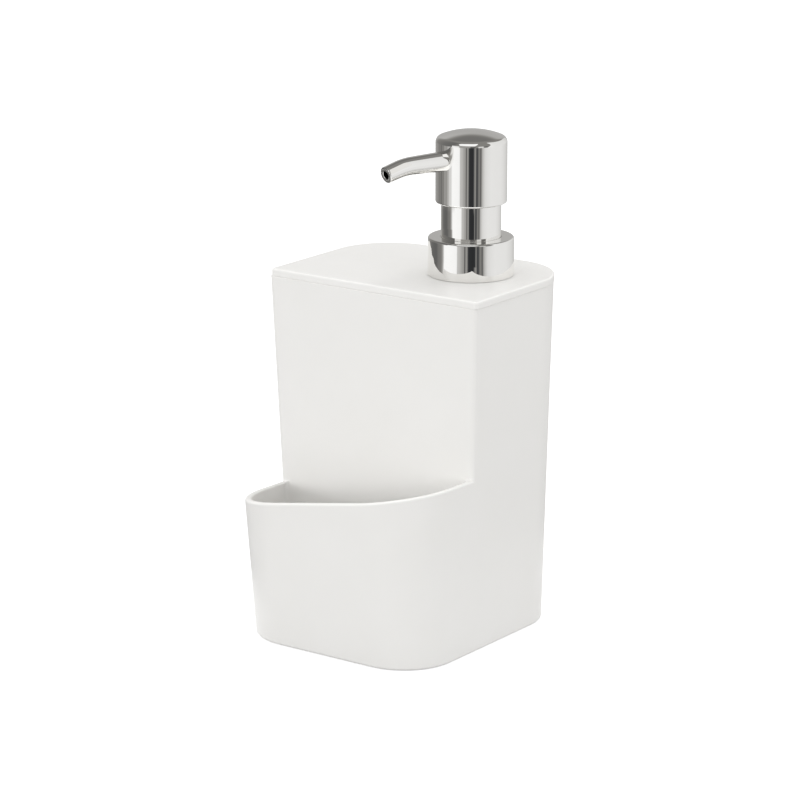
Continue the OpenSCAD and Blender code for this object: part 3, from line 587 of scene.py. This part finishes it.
# The collar's shell leans in by a quarter of a millimetre over its lower part, then stands straight
COLLAR_FOOT, COLLAR_FOOT_R, COLLAR_R, COLLAR_BORE_R, COLLAR_HOLE_R = LID_TOP + 0.12, 17.0, 16.75, 16.2, 11.78
COLLAR_LEAN_END, COLLAR_LEAN_ARC, COLLAR_WALL = LID_TOP + 7.0, 60.0, 0.8
chrome_collar = lathe("chrome_collar", rounded_profile([
    (COLLAR_FOOT_R, COLLAR_FOOT, 0.1), (COLLAR_R, COLLAR_LEAN_END, COLLAR_LEAN_ARC),
    (COLLAR_R, COLLAR_TOP, 0.8), (COLLAR_HOLE_R, COLLAR_TOP, 0.25),
    (COLLAR_HOLE_R, COLLAR_TOP - COLLAR_WALL, 0.1), (COLLAR_BORE_R, COLLAR_TOP - COLLAR_WALL, 0.3),
    (COLLAR_BORE_R, COLLAR_FOOT, 0.1)]))
for piece, body, node in ((chrome_head, "head", "head_cap"), (chrome_sleeve, "pump_unit", "collar_sleeve"),
                          (chrome_collar, "collar", "pump_collar")):
    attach(piece, body)
    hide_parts(node)

# %% [markdown]
# The spout is a tapering tube that runs straight out of the head and then droops. Its axis is a line,
# an arc and a line. The skin is given as pairs of (way along the axis, radius): out along the tube,
# round its lip, and back down the bore, so the nozzle's hole is real.

# %% Spout
SPOUT = {"z": 188.0, "start": 6.0, "straight": 28.6, "bend_r": 30.0, "droop": radians(14.5), "reach": 41.0,
         "r": 3.9, "taper": 0.65, "turn_deg": 17.5}
bend_len = SPOUT["bend_r"] * SPOUT["droop"]
bend_reach = SPOUT["bend_r"] * np.sin(SPOUT["droop"])
tip_len = (SPOUT["reach"] - SPOUT["straight"] - bend_reach) / np.cos(SPOUT["droop"])
spout_len = SPOUT["straight"] + bend_len + tip_len


def spout_axis(way):
    """Reach, height and lean of the axis at a way along it: level, then turning down, then straight on."""
    lean = np.clip((way - SPOUT["straight"]) / SPOUT["bend_r"], 0, SPOUT["droop"])
    past = np.maximum(way - SPOUT["straight"] - bend_len, 0)
    reach = np.minimum(way, SPOUT["straight"]) + SPOUT["bend_r"] * np.sin(lean) + past * np.cos(lean)
    height = SPOUT["z"] - SPOUT["bend_r"] * (1 - np.cos(lean)) - past * np.sin(lean)
    return reach, height, lean


def spout_radius(reach):
    """Even to the head's wall, then a steady taper to the tip."""
    return SPOUT["r"] - SPOUT["taper"] * np.maximum(0, reach - HEAD_R) / (SPOUT["reach"] - HEAD_R)


BORE_R, LIP, BORE_LIP = 1.65, 0.3, 0.2
way_out = np.concatenate([[SPOUT["start"], 12.0], np.linspace(HEAD_R, SPOUT["straight"], 8),
                          SPOUT["straight"] + bend_len * np.linspace(0, 1, 17)[1:],
                          SPOUT["straight"] + bend_len + (tip_len - LIP) * np.array([0.3, 0.6, 0.9, 0.99])])
lip_turn = np.radians(np.linspace(0, 90, 7))
tip_r = spout_radius(SPOUT["reach"])
lip_way = np.concatenate([spout_len - LIP + LIP * np.sin(lip_turn),
                          spout_len - BORE_LIP + BORE_LIP * np.cos(lip_turn)])
lip_r = np.concatenate([tip_r - LIP + LIP * np.cos(lip_turn),
                        BORE_R + BORE_LIP - BORE_LIP * np.sin(lip_turn)])
ways = np.concatenate([way_out, lip_way, way_out[::-1]])
radii = np.concatenate([spout_radius(spout_axis(way_out)[0]), lip_r, np.full(len(way_out), BORE_R)])[:, None]
reach, height, lean = (row[:, None] for row in spout_axis(ways))
around = (2 * np.pi * np.arange(64) / 64)[None]
# A point of the skin lies off the axis by the radius, up and sideways; lean carries up forwards
out = reach + radii * np.cos(around) * np.sin(lean)
side = radii * np.sin(around)
heading = radians(-90 - SPOUT["turn_deg"])
spout_rows = np.stack([PUMP[0] + out * np.cos(heading) - side * np.sin(heading),
                       PUMP[1] + out * np.sin(heading) + side * np.cos(heading),
                       height + radii * np.cos(around) * np.cos(lean)], -1)
chrome_spout = make_piece("chrome_spout", [(spout_rows, grid_quads(*spout_rows.shape[:2], True, True))])
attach(chrome_spout, "head")
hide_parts("spout_tube")

# %% [markdown]
# The return spring is wound from round steel wire. A helix carried a small circle along it gives the
# wire, and its end turns lie closer together, as on a real compression spring.

# %% Return spring
WIRE_R, COIL_R, TURNS, RING_N = 0.45, 4.8, 8, 48
SPRING_LOW, SPRING_HIGH, END_GAP, END_EASE = 113.05, 138.55, 0.05, 0.06
share = np.linspace(0, 1, TURNS * RING_N + 1)
ease = share - END_EASE * np.sin(2 * np.pi * share)
wire_z = SPRING_LOW + WIRE_R + END_GAP + (SPRING_HIGH - SPRING_LOW - 2 * WIRE_R - 2 * END_GAP) * ease
coil_turn = 2 * np.pi * TURNS * share[:, None]
around = (2 * np.pi * np.arange(14) / 14)[None]
# A small circle about the helix: its radius adds to the coil's, its sine to the height
wire_rows = np.stack([PUMP[0] + (COIL_R + WIRE_R * np.cos(around)) * np.cos(coil_turn),
                      PUMP[1] + (COIL_R + WIRE_R * np.cos(around)) * np.sin(coil_turn),
                      wire_z[:, None] + WIRE_R * np.sin(around)], -1)
ends = [ring_fan(wire_rows[k], wire_rows[k].mean(0), (1.0, 0.6)) for k in (0, -1)]
wire_patch = (wire_rows, grid_quads(*wire_rows.shape[:2], closed_cols=True))
coil_wire = make_piece("coil_wire", [wire_patch] + ends, 40)
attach(coil_wire, "pump_unit")
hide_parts("return_spring")
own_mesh(coil_wire)

# %% [markdown]
# Finishes. Colours are written as sRGB hex and turned to linear by one function. One function adds a
# node with its settings and links. Patterns read Object coordinates, which are metres on every piece.

# %% Colour and node helpers
def linear(level):
    """Linear value of an sRGB one from 0 to 1: level / 12.92 up to 0.04045, else ((level + 0.055) / 1.055)
    to the power 2.4."""
    return np.where(level <= 0.04045, level / 12.92, ((level + 0.055) / 1.055) ** 2.4)


def colour(code):
    """Linear RGBA of an sRGB hex code such as #a1b2c3: its three pairs of digits over 255, made linear."""
    levels = np.array([int(code[k:k + 2], 16) for k in (1, 3, 5)]) / 255
    return (*map(float, linear(levels)), 1.0)


def add_node(tree, kind, inputs=None, **settings):
    """Adds a node, sets what is given, and links an input where its value is another node's output."""
    node = tree.nodes.new(kind)
    for key, value in settings.items():
        setattr(node, key, value)
    for key, value in (inputs or {}).items():
        if isinstance(value, bpy.types.NodeSocket):
            tree.links.new(value, node.inputs[key])
        else:
            node.inputs[key].default_value = value
    return node


def new_finish(name):
    """An empty material, its node tree, its Principled shader and its Object coordinates."""
    material = bpy.data.materials.new(name)
    material.use_nodes = True
    tree = material.node_tree
    shader = tree.nodes["Principled BSDF"]
    place = add_node(tree, "ShaderNodeTexCoord").outputs["Object"]
    return material, tree, shader, place


def per_metre(mm):
    """Noise scale whose features are about so many mm wide: one over that width in metres."""
    return 1.0 / (mm * MM)


def link_finish(tree, shader, tone, rough, bump):
    """Links a finish's tone, roughness and bump to its shader."""
    tree.links.new(tone.outputs["Result"], shader.inputs["Base Color"])
    tree.links.new(rough.outputs["Result"], shader.inputs["Roughness"])
    tree.links.new(bump.outputs["Normal"], shader.inputs["Normal"])


print("middle grey is", round(colour("#808080")[0], 3), "in linear light")

# %% [markdown]
# White polypropylene, injection moulded. The eye sees an even, very slightly warm white with a satin
# bloom: the tool's spark-eroded skin scatters the light, and flow leaves faint clouds in tone and
# gloss some 3 cm across. Grain of 0.1 mm would not show at this distance, so it is drawn at 0.45 mm.

# %% Moulded polypropylene
def satin_plastic(name, light, dark, rough=(0.36, 0.46), grain_mm=0.45, grain_depth_mm=0.006, drawn=1.0):
    """Satin plastic: cloudy tone, cloudy gloss and a fine grain, all drawn out so many times upwards."""
    material, tree, shader, place = new_finish(name)
    place = add_node(tree, "ShaderNodeMapping",
                     {"Vector": place, "Scale": (1.0, 1.0, 1.0 / drawn)}).outputs[0]
    cloud = add_node(tree, "ShaderNodeTexNoise",
                     {"Vector": place, "Scale": per_metre(30), "Detail": 3.0, "Roughness": 0.55})
    tone = add_node(tree, "ShaderNodeMix",
                    {"Factor": cloud.outputs["Fac"], "A": colour(dark), "B": colour(light)}, data_type="RGBA")
    gloss = add_node(tree, "ShaderNodeTexNoise", {"Vector": place, "Scale": per_metre(9), "Detail": 4.0})
    rough_map = add_node(tree, "ShaderNodeMapRange",
                         {"Value": gloss.outputs["Fac"], "From Min": 0.3, "From Max": 0.7,
                          "To Min": rough[0], "To Max": rough[1]})
    grain = add_node(tree, "ShaderNodeTexNoise",
                     {"Vector": place, "Scale": per_metre(grain_mm), "Detail": 2.0})
    bump = add_node(tree, "ShaderNodeBump",
                    {"Height": grain.outputs["Fac"], "Strength": 0.5, "Distance": grain_depth_mm * MM})
    link_finish(tree, shader, tone, rough_map, bump)
    shader.inputs["IOR"].default_value = 1.49
    return material


white_pp = satin_plastic("injection_moulded_white_polypropylene", "#eae9e7", "#e6e5e2")
print("made", white_pp.name)

# %% [markdown]
# Natural polypropylene and polyethylene have no pigment. Light goes a little way in, so they look
# milky. A little subsurface scattering of about a millimetre gives that. The dip tube is extruded, so
# its pattern is drawn out lengthwise into the faint lines a die leaves.

# %% Natural plastics
natural_pp = satin_plastic("natural_polypropylene_moulded", "#e6e6de", "#dcdcd2", (0.28, 0.38), 0.6)
tube_pe = satin_plastic("extruded_polyethylene_tube", "#e8eceb", "#e2e7e6", (0.24, 0.3), 0.5, 0.004, 40.0)
for milky, scattered, depth_mm in ((natural_pp, 0.25, 1.0), (tube_pe, 0.35, 1.2)):
    shader = milky.node_tree.nodes["Principled BSDF"]
    shader.inputs["Subsurface Weight"].default_value = scattered
    shader.inputs["Subsurface Scale"].default_value = depth_mm * MM
    print("made", milky.name, "scattering over", depth_mm, "mm")

# %% [markdown]
# Soft rubber is matt and grips dust, foam shows its cut cells. Both are near white here.

# %% Rubber and foam
seal_tpe = satin_plastic("moulded_soft_rubber", "#d9d9d6", "#cdcdc9", (0.62, 0.78), 0.35, 0.02)
foam_pe, tree, shader, place = new_finish("die_cut_closed_cell_foam")
cells = add_node(tree, "ShaderNodeTexVoronoi", {"Vector": place, "Scale": per_metre(0.5)})
cell_tone = add_node(tree, "ShaderNodeMix",
                     {"Factor": cells.outputs["Distance"], "A": colour("#c9c9c4"), "B": colour("#efefeb")},
                     data_type="RGBA")
cell_bump = add_node(tree, "ShaderNodeBump",
                     {"Height": cells.outputs["Distance"], "Strength": 0.6, "Distance": 0.08 * MM})
tree.links.new(cell_tone.outputs["Result"], shader.inputs["Base Color"])
tree.links.new(cell_bump.outputs["Normal"], shader.inputs["Normal"])
shader.inputs["Roughness"].default_value = 0.85
print("made", seal_tpe.name, foam_pe.name)

# %% [markdown]
# Decorative chrome over moulded ABS. The plating levels almost every mark, so what the eye sees is the
# room. Two things still tell it from a perfect mirror: the plastic below pulls in very slightly as it
# cools, over a few millimetres, and wiping leaves a faint haze. Steel wire keeps the lines of its die.

# %% Chrome and steel
def plated_metal(name, light, dark, rough, wave_mm, wave_depth_mm, haze_mm):
    """Metal with a slight wave in its surface and a haze that varies its gloss."""
    material, tree, shader, place = new_finish(name)
    wave = add_node(tree, "ShaderNodeTexNoise",
                    {"Vector": place, "Scale": per_metre(wave_mm), "Detail": 1.0})
    bump = add_node(tree, "ShaderNodeBump",
                    {"Height": wave.outputs["Fac"], "Strength": 0.5, "Distance": wave_depth_mm * MM})
    haze = add_node(tree, "ShaderNodeTexNoise",
                    {"Vector": place, "Scale": per_metre(haze_mm), "Detail": 5.0, "Roughness": 0.6})
    rough_map = add_node(tree, "ShaderNodeMapRange",
                         {"Value": haze.outputs["Fac"], "From Min": 0.35, "From Max": 0.75,
                          "To Min": rough[0], "To Max": rough[1]})
    tone = add_node(tree, "ShaderNodeMix",
                    {"Factor": haze.outputs["Fac"], "A": colour(light), "B": colour(dark)}, data_type="RGBA")
    link_finish(tree, shader, tone, rough_map, bump)
    shader.inputs["Metallic"].default_value = 1.0
    return material


chrome = plated_metal("bright_chrome_plated_abs", "#f5f4f2", "#f1f0ed", (0.01, 0.03), 6.0, 0.004, 5.0)
steel = plated_metal("drawn_stainless_steel", "#c6c5c2", "#b4b3b0", (0.16, 0.3), 0.8, 0.01, 1.5)
print("made", chrome.name, steel.name)

# %% [markdown]
# Each piece gets one finish. The tank and the lid are of the same white plastic. What is hidden inside
# gets the materials that such pumps usually have: natural plastics, rubber, foam, and steel for the
# spring and the balls. A finish could be given by hand in the editor; a table keeps it in one place.

# %% Finishes on the pieces
FINISHES = {
    white_pp: [moulded_body, lid_moulding],
    chrome: [chrome_head, chrome_sleeve, chrome_collar, chrome_spout],
    steel: [coil_wire, nodes["inlet_ball"], nodes["outlet_ball"]],
    natural_pp: [nodes[node] for node in ("collar_insert", "stem_guide", "pump_barrel", "ball_cage",
                                          "piston", "spring_seat", "pump_stem", "head_core")],
    tube_pe: [nodes["dip_tube"]],
    seal_tpe: [nodes["lid_seal"]],
    foam_pe: [nodes["neck_gasket"]]}
for finish, pieces in FINISHES.items():
    for piece in pieces:
        piece.data.materials.clear()
        piece.data.materials.append(finish)
print("finished", sum(map(len, FINISHES.values())), "pieces")

# %% [markdown]
# The studio. A pale floor runs on to a white backdrop. Pure white in the picture comes from what the
# floor and the world show to the camera, not from more light on the object. The floor still has a
# diffuse share, so it darkens where the object stands.

# %% Floor and world
def seen_directly(tree):
    """1 for rays from the camera or by way of a mirror or glass, else 0: the greatest of the three."""
    path = add_node(tree, "ShaderNodeLightPath")
    seen = add_node(tree, "ShaderNodeMath",
                    {0: path.outputs["Is Camera Ray"], 1: path.outputs["Is Glossy Ray"]}, operation="MAXIMUM")
    return add_node(tree, "ShaderNodeMath", {0: seen.outputs[0], 1: path.outputs["Is Transmission Ray"]},
                    operation="MAXIMUM").outputs[0]


# The floor reaches 20 m each way and lies a tenth of a millimetre below the object's foot
FLOOR_HALF, FLOOR_Z = 20, -0.0001
floor_corners = [(x * FLOOR_HALF, y * FLOOR_HALF, FLOOR_Z) for x, y in ((-1, -1), (1, -1), (1, 1), (-1, 1))]
floor_mesh = bpy.data.meshes.new("studio_floor")
floor_mesh.from_pydata(floor_corners, [], [(0, 1, 2, 3)])
studio_floor = bpy.data.objects.new("studio_floor", floor_mesh)
bpy.context.scene.collection.objects.link(studio_floor)
floor_paint = bpy.data.materials.new("matt_white_paper")
floor_paint.use_nodes = True
tree = floor_paint.node_tree
tree.nodes.clear()
paper = add_node(tree, "ShaderNodeBsdfDiffuse", {"Color": colour("#a4a4a4")})
lit = add_node(tree, "ShaderNodeBsdfDiffuse", {"Color": colour("#a8a8a8")})
glow = add_node(tree, "ShaderNodeEmission", {"Color": (1, 1, 1, 1), "Strength": 0.8})
shown = add_node(tree, "ShaderNodeAddShader", {0: lit.outputs[0], 1: glow.outputs[0]})
mixed = add_node(tree, "ShaderNodeMixShader",
                 {0: seen_directly(tree), 1: paper.outputs[0], 2: shown.outputs[0]})
add_node(tree, "ShaderNodeOutputMaterial", {"Surface": mixed.outputs[0]})
floor_mesh.materials.append(floor_paint)

world = bpy.data.worlds.new("studio_world")
bpy.context.scene.world = world
world.use_nodes = True
tree = world.node_tree
tree.nodes.clear()
soft = add_node(tree, "ShaderNodeBackground", {"Color": (1, 1, 1, 1), "Strength": 0.92})
white = add_node(tree, "ShaderNodeBackground", {"Color": (1, 1, 1, 1), "Strength": 1.0})
sky = add_node(tree, "ShaderNodeMixShader", {0: seen_directly(tree), 1: soft.outputs[0], 2: white.outputs[0]})
add_node(tree, "ShaderNodeOutputWorld", {"Surface": sky.outputs[0]})
print("floor and world ready")

# %% [markdown]
# Four large softboxes light the object: a broad one in front, one at each side and one overhead. Their
# watts were set until the plastic had the photograph's tones. The chrome doesn't mirror them, because
# it has a tent of its own, which comes next.

# %% Lamps
TARGET = np.array([0.0, 0.0, 0.08])


def soft_lamp(name, place, size, watts):
    """A rectangular area lamp at a place in metres, turned by its tilt from straight down and its
    heading until it faces the target."""
    data = bpy.data.lights.new(name, "AREA")
    data.shape = "RECTANGLE"
    data.size, data.size_y = size
    data.energy = watts
    lamp = bpy.data.objects.new(name, data)
    x, y, z = TARGET - np.array(place, float)
    lamp.location = place
    lamp.rotation_euler = (float(np.arctan2(np.hypot(x, y), -z)), 0.0, float(np.arctan2(-x, y)))
    lamp.visible_glossy = False
    bpy.context.scene.collection.objects.link(lamp)
    print(name, watts, "W")


soft_lamp("front_left_softbox", (-0.85, -1.80, 0.22), (2.4, 0.4), 14.4)
soft_lamp("right_softbox", (1.90, -0.40, 0.22), (1.6, 0.4), 10.2)
soft_lamp("left_softbox", (-1.90, 0.10, 0.25), (1.6, 0.45), 4.7)
soft_lamp("overhead_softbox", (0.0, 0.1, 2.0), (1.0, 1.0), 9.2)

# %% [markdown]
# Chrome shows its surroundings, so the set that stood round the pump matters as much as the finish.
# A tent round the pump's head carries what the head mirrors: a bright window high in front, black
# flags, the dark stand of the camera, grey cloth at the left, a pale sweep at the right and behind.
# Each is drawn by azimuth, from the camera's side towards the picture's right, and by elevation.
# Only mirror rays see the tent, so it doesn't light the plastic.

# %% Tent grid
TENT_R = 0.45
TENT_CENTRE = np.array([0.020, 0.0195, 0.190])
CAMERA_SIDE = -54.0
CHROME_TONE = 0.885
AZ, EL = np.meshgrid(np.linspace(-180, 180, 1081)[:-1], np.linspace(-24.6, 89.5, 172))


def grey(level):
    """Tent brightness that chrome shows as this sRGB level, 0 to 255: its linear value over chrome's tone."""
    return linear(np.asarray(level, float) / 255) / CHROME_TONE


def smooth(x, low, high):
    """0 below low, 1 above high, and share squared times (3 - 2 share) between."""
    share = np.clip((x - low) / (high - low), 0, 1)
    return share * share * (3 - 2 * share)


def paint(under, over, mask):
    """What lies under where the mask is 0, what lies over it where the mask is 1, and a mix between."""
    return under * (1 - mask) + over * mask


print("tent grid", AZ.shape)

# %% [markdown]
# An upright round wall mirrors a level ring of the room, each strip of it at twice the wall's angle. So
# what the head's wall, the sleeve and the collar carry can be set as one list by azimuth. The list was
# shaped card by card, until the chrome carried the same bands as in the photograph.

# %% Cards at pump height
# Azimuth, and the level seen there: cloth at the left, window, its frame, stand, gaps, pale sweep
CARDS = [(-180, 160), (-160, 152), (-146, 148), (-128, 126), (-110, 112), (-100, 130), (-90, 158),
         (-86, 136), (-80, 182), (-72, 205), (-66, 225), (-64, 247), (-42, 243), (-38, 236), (-37, 190),
         (-30, 180), (-24, 158), (-19, 148), (-18, 90), (-16, 90), (-15, 146), (-10.5, 142), (-9, 72),
         (-6, 48), (4.5, 46), (8, 96), (9, 132), (13, 134), (14.5, 72), (18.5, 64), (20, 100), (25, 130),
         (27, 98), (30, 100), (32, 160), (37, 192), (43, 213), (52, 221), (65, 226), (105, 224), (122, 217),
         (140, 205), (155, 190), (180, 165)]
card_az, card_level = np.array(CARDS, float).T
# Folds of the left cloth: waves of three widths, only where the camera sees them mirrored
folds = sum(deep * np.sin(np.radians(AZ * waves + start)) for deep, waves, start in
            ((7, 33, 0), (6, 57, 40), (3, 91, 0)))
at_pump = np.interp(AZ, card_az, card_level) + folds * smooth(-AZ, 66, 74) * smooth(AZ, -150, -118)
# The sleeve and the collar see the left cloth from lower down, where it is darker and nearer
LOW_CLOTH = ([-180, -157, -132, -120, -107, -98, -90, -86, -82, -78.5, -75, -60],
             [168, 155, 104, 96, 94, 114, 118, 131, 164, 211, 246, 247])
low_down = smooth(-EL, 13.9, 14.6)
at_pump = paint(at_pump, np.interp(AZ, *LOW_CLOTH), low_down * smooth(-AZ, 58, 62))
# The stand of the camera is wider there
low_stand = np.interp(AZ, [-9, -6, 4.5, 9.5, 11.5, 13, 14.5], [72, 48, 44, 50, 122, 122, 72])
at_pump = paint(at_pump, low_stand, low_down * smooth(AZ, -10, -8) * (1 - smooth(AZ, 14, 15)))
at_pump = grey(at_pump)
print("cards at pump height, folds up to", round(float(folds.max()), 1), "levels deep")

# %% [markdown]
# The head's shoulder and dome mirror what stands higher, up to the ceiling. It is painted like a stage
# set, from the back to the front: ceiling, cloth, back wall, pale sweep and window, each over what lies
# under it with a soft-edged mask.

# %% What stands higher
ceiling = grey(126) + 0 * AZ
left_cloth = grey(np.interp(AZ, [-180, -160, -130, -100, -66, -50], [160, 140, 120, 106, 98, 112]))
upper = paint(ceiling, left_cloth, smooth(-AZ, 48, 62) * smooth(AZ, -178, -156) * (1 - smooth(EL, 52, 70)))
back_wall = grey(170 + 4 * np.sin(np.radians(AZ * 7 + EL * 5)))
behind = smooth(np.abs(AZ), 138, 166)
upper = paint(upper, back_wall, behind * (1 - smooth(EL, 28, 42)))
upper = paint(upper, grey(110), behind * smooth(EL, 31, 46) * (1 - smooth(EL, 58, 80)))
front_low = grey(np.interp(AZ, [-64, -42, -38, -6, -3, 10, 14, 19, 22, 36, 40, 47, 60],
                           [232, 232, 150, 146, 92, 96, 124, 130, 214, 214, 104, 100, 118]))
upper = paint(upper, front_low, smooth(AZ, -66, -64) * (1 - smooth(AZ, 50, 62)) * (1 - smooth(EL, 10, 20)))
sweep_top = np.interp(AZ, [45, 50, 58, 64, 67, 70, 74, 80, 90, 98, 106, 114, 122, 130, 140, 150, 158, 162],
                      [-30, -6, 10, 20, 31, 43, 53, 59, 60, 55, 47, 42, 37, 33, 28, 24, 14, -30])
pale_sweep = grey(np.interp(AZ, [45, 60, 80, 130, 150], [238, 232, 224, 220, 204]))
upper = paint(upper, pale_sweep, smooth(sweep_top - EL, -1.5, 1.5))
window_left = np.interp(EL, [14, 30, 40, 47, 55, 63], [-38, -42, -47, -52, -46, -16])
window_right = np.interp(EL, [14, 30, 40, 50, 60], [8, 13, 18, 25, 29])
window = smooth(AZ - window_left, -1.5, 1.5) * smooth(window_right - AZ, -1.5, 1.5) * (1 - smooth(EL, 60, 64))
upper = paint(upper, grey(252), window * smooth(EL, 14, 37))
tent = paint(at_pump, upper, smooth(EL, -9, -2))
print("tent grid", tent.shape, "brightness", round(float(tent.min()), 3), "to", round(float(tent.max()), 3))

# %% [markdown]
# The tent and the sheets are meshes whose points carry the brightness as an attribute, and whose
# material glows with it. What chrome throws on to plastic from them is plain white instead, as from the
# rest of the studio, so that they don't shade the lid round the pump: the Diffuse Depth of a ray tells
# that it left the plastic first.

# %% Tent mesh
def direction(az_deg, el_deg):
    """Unit vectors at an azimuth from the camera's side and an elevation: (cos el cos az, cos el sin az,
    sin el)."""
    phi, theta = np.radians(CAMERA_SIDE + az_deg), np.radians(el_deg)
    return np.stack([np.cos(theta) * np.cos(phi), np.cos(theta) * np.sin(phi), np.sin(theta)], -1)


# How warm a brightness looks: cool in the darks, warm in the mid greys, and what that does to RGB
WARM_AT, WARMTH = [0.0, 0.05, 0.12, 0.22, 0.4, 0.8, 1.2], [-2.2, -1.9, 0.3, 1.2, 0.6, 0.0, -0.35]
WARM_RGB = np.array([[0.02, 0.0, -0.035]])
THROWN_WHITE = 1.1


def glowing_cards(name, patches, one_sided=False, only_for=None):
    """One mesh from patches of (points in m, faces, brightness) that glows in mirror rays alone: light =
    brightness x (1 + warmth x WARM_RGB). One sided cards show only the side that their faces turn to.
    Cards for one piece alone add their light to what is behind them."""
    starts = np.cumsum([0] + [level.size for _, _, level in patches])
    points = np.concatenate([patch.reshape(-1, 3) for patch, _, _ in patches])
    faces = np.concatenate([quads + start for (_, quads, _), start in zip(patches, starts)])
    level = np.concatenate([patch_level.ravel() for _, _, patch_level in patches])
    tint = 1 + np.interp(level, WARM_AT, WARMTH)[:, None] * WARM_RGB
    mesh = bpy.data.meshes.new(name)
    mesh.from_pydata(points.tolist(), [], faces.tolist())
    rgba = np.concatenate([level[:, None] * tint, np.ones((len(level), 1))], 1).astype(np.float32)
    mesh.attributes.new("card_light", "FLOAT_COLOR", "POINT").data.foreach_set("color", rgba.ravel())
    cards = bpy.data.objects.new(name, mesh)
    bpy.context.scene.collection.objects.link(cards)
    for ray_kind in ("camera", "diffuse", "shadow", "transmission", "volume_scatter"):
        setattr(cards, "visible_" + ray_kind, False)
    cloth = bpy.data.materials.new(name + "_cloth")
    cloth.use_nodes = True
    tree = cloth.node_tree
    tree.nodes.clear()
    card_light = add_node(tree, "ShaderNodeAttribute", attribute_name="card_light")
    path = add_node(tree, "ShaderNodeLightPath")
    thrown = add_node(tree, "ShaderNodeMath", {0: path.outputs["Diffuse Depth"], 1: 0.5},
                      operation="GREATER_THAN")
    thrown_light = (0, 0, 0, 1) if only_for else (THROWN_WHITE, THROWN_WHITE, THROWN_WHITE, 1)
    light = add_node(tree, "ShaderNodeMix",
                     {"Factor": thrown.outputs[0], "A": card_light.outputs["Color"], "B": thrown_light},
                     data_type="RGBA")
    shown = add_node(tree, "ShaderNodeEmission", {"Color": light.outputs["Result"], "Strength": 1.0})
    clear = add_node(tree, "ShaderNodeBsdfTransparent")
    if one_sided:
        back = add_node(tree, "ShaderNodeNewGeometry").outputs["Backfacing"]
        shown = add_node(tree, "ShaderNodeMixShader", {0: back, 1: shown.outputs[0], 2: clear.outputs[0]})
    if only_for:
        shown = add_node(tree, "ShaderNodeAddShader", {0: shown.outputs[0], 1: clear.outputs[0]})
        seen_by = bpy.data.collections.new(name + "_seen_by")
        seen_by.objects.link(only_for)
        cards.light_linking.receiver_collection = seen_by
    add_node(tree, "ShaderNodeOutputMaterial", {"Surface": shown.outputs[0]})
    mesh.materials.append(cloth)
    print(name, len(points), "points")


tent_patches = [(TENT_CENTRE + TENT_R * direction(AZ, EL), grid_quads(*AZ.shape, closed_cols=True), tent)]
# On the floor, a dark cloth at the left that the nozzle's lip mirrors, and the sweep's foot at the right
# that runs along the spout's underside. Each: first and last azimuth, levels at the low and high end
FLOOR_CLOTH_Z = 0.003
for az_from, az_to, low_level, high_level in ((-165, -80, 108, 108), (30, 170, 185, 222)):
    cloth_az, cloth_el = np.meshgrid(np.linspace(az_from, az_to, 60), np.linspace(-58, -24.8, 30))
    cloth_down = (TENT_CENTRE[2] - FLOOR_CLOTH_Z) / np.sin(np.radians(-cloth_el))
    cloth_grey = grey(np.interp(cloth_el, [-50, -26], [low_level, high_level]))
    cloth_points = TENT_CENTRE + cloth_down[..., None] * direction(cloth_az, cloth_el)
    tent_patches.append((cloth_points, grid_quads(*cloth_az.shape), cloth_grey))
glowing_cards("reflection_tent", tent_patches)

# %% [markdown]
# A painted reflection for the spout's bend: a card at the pale sweep's level, further up and further
# round than the sweep reaches on the dome. Light linking keeps the card to the spout.

# %% Painted reflection card for the spout
# The card hangs just inside the tent, at this share of its radius
CARD_SHARE = 0.98
spout_top = np.interp(AZ, [42, 46, 50, 54, 86, 92, 98], [-30, 20, 56, 68, 68, 60, 50])
beyond = smooth(spout_top - EL, -1.5, 1.5) * (1 - smooth(sweep_top - EL, -1.5, 1.5))
crop = np.ix_((EL[:, 0] > -6) & (EL[:, 0] < 72), (AZ[0] > 40) & (AZ[0] < 100))
spout_painted_reflection_card = TENT_CENTRE + CARD_SHARE * TENT_R * direction(AZ[crop], EL[crop])
card_level = np.clip(paint(0, grey(226) - tent, beyond), 0, None)[crop]
glowing_cards("spout_painted_reflection_card", [(spout_painted_reflection_card, grid_quads(*card_level.shape), card_level)], only_for=chrome_spout)

# %% [markdown]
# A painted dark reflection for the collar's left: a glowing sheet just above the lid, at the levels of
# the left cloth low down, which the collar mirrors in place of the lid. It is laid out from the collar:
# out to the wall at an angle, then on along the mirrored ray. Only its upper side shows, so the collar
# mirrors it and the lid's satin doesn't.

# %% Painted dark reflection over the lid
# How far the sheet runs out from the collar's wall, the wall's mean radius, and the height over the lid
SHEET_END, WALL_R, OVER_LID = 84.0, 16.9, 0.1
sheet_az = np.linspace(-146, -79, 68)
wall_angle = np.radians(CAMERA_SIDE + sheet_az / 2)
wall_place = TENT_CENTRE[:2] + WALL_R * MM * np.stack([np.cos(wall_angle), np.sin(wall_angle)], -1)
near_gap = np.interp(sheet_az, [-146, -134, -130, -120, -108, -94, -79], [60, 50, 39, 34, 26, 19, 14.5])
gap = near_gap + (SHEET_END - near_gap) * np.linspace(0, 1, 9)[:, None]
sheet_plan = wall_place + MM * gap[..., None] * direction(sheet_az, 0 * sheet_az)[:, :2]
sheet_rows = np.concatenate([sheet_plan, np.full(gap.shape + (1,), (LID_TOP + OVER_LID) * MM)], -1)
painted_collar_reflection_level = grey(np.broadcast_to(np.interp(sheet_az, *LOW_CLOTH), gap.shape))
glowing_cards("collar_painted_reflection_sheet", [(sheet_rows, grid_quads(*gap.shape)[:, ::-1], painted_collar_reflection_level)], one_sided=True)

# %% [markdown]
# The Standard view shows a colour as it is written.

# %% Colour management
bpy.context.scene.view_settings.view_transform = "Standard"
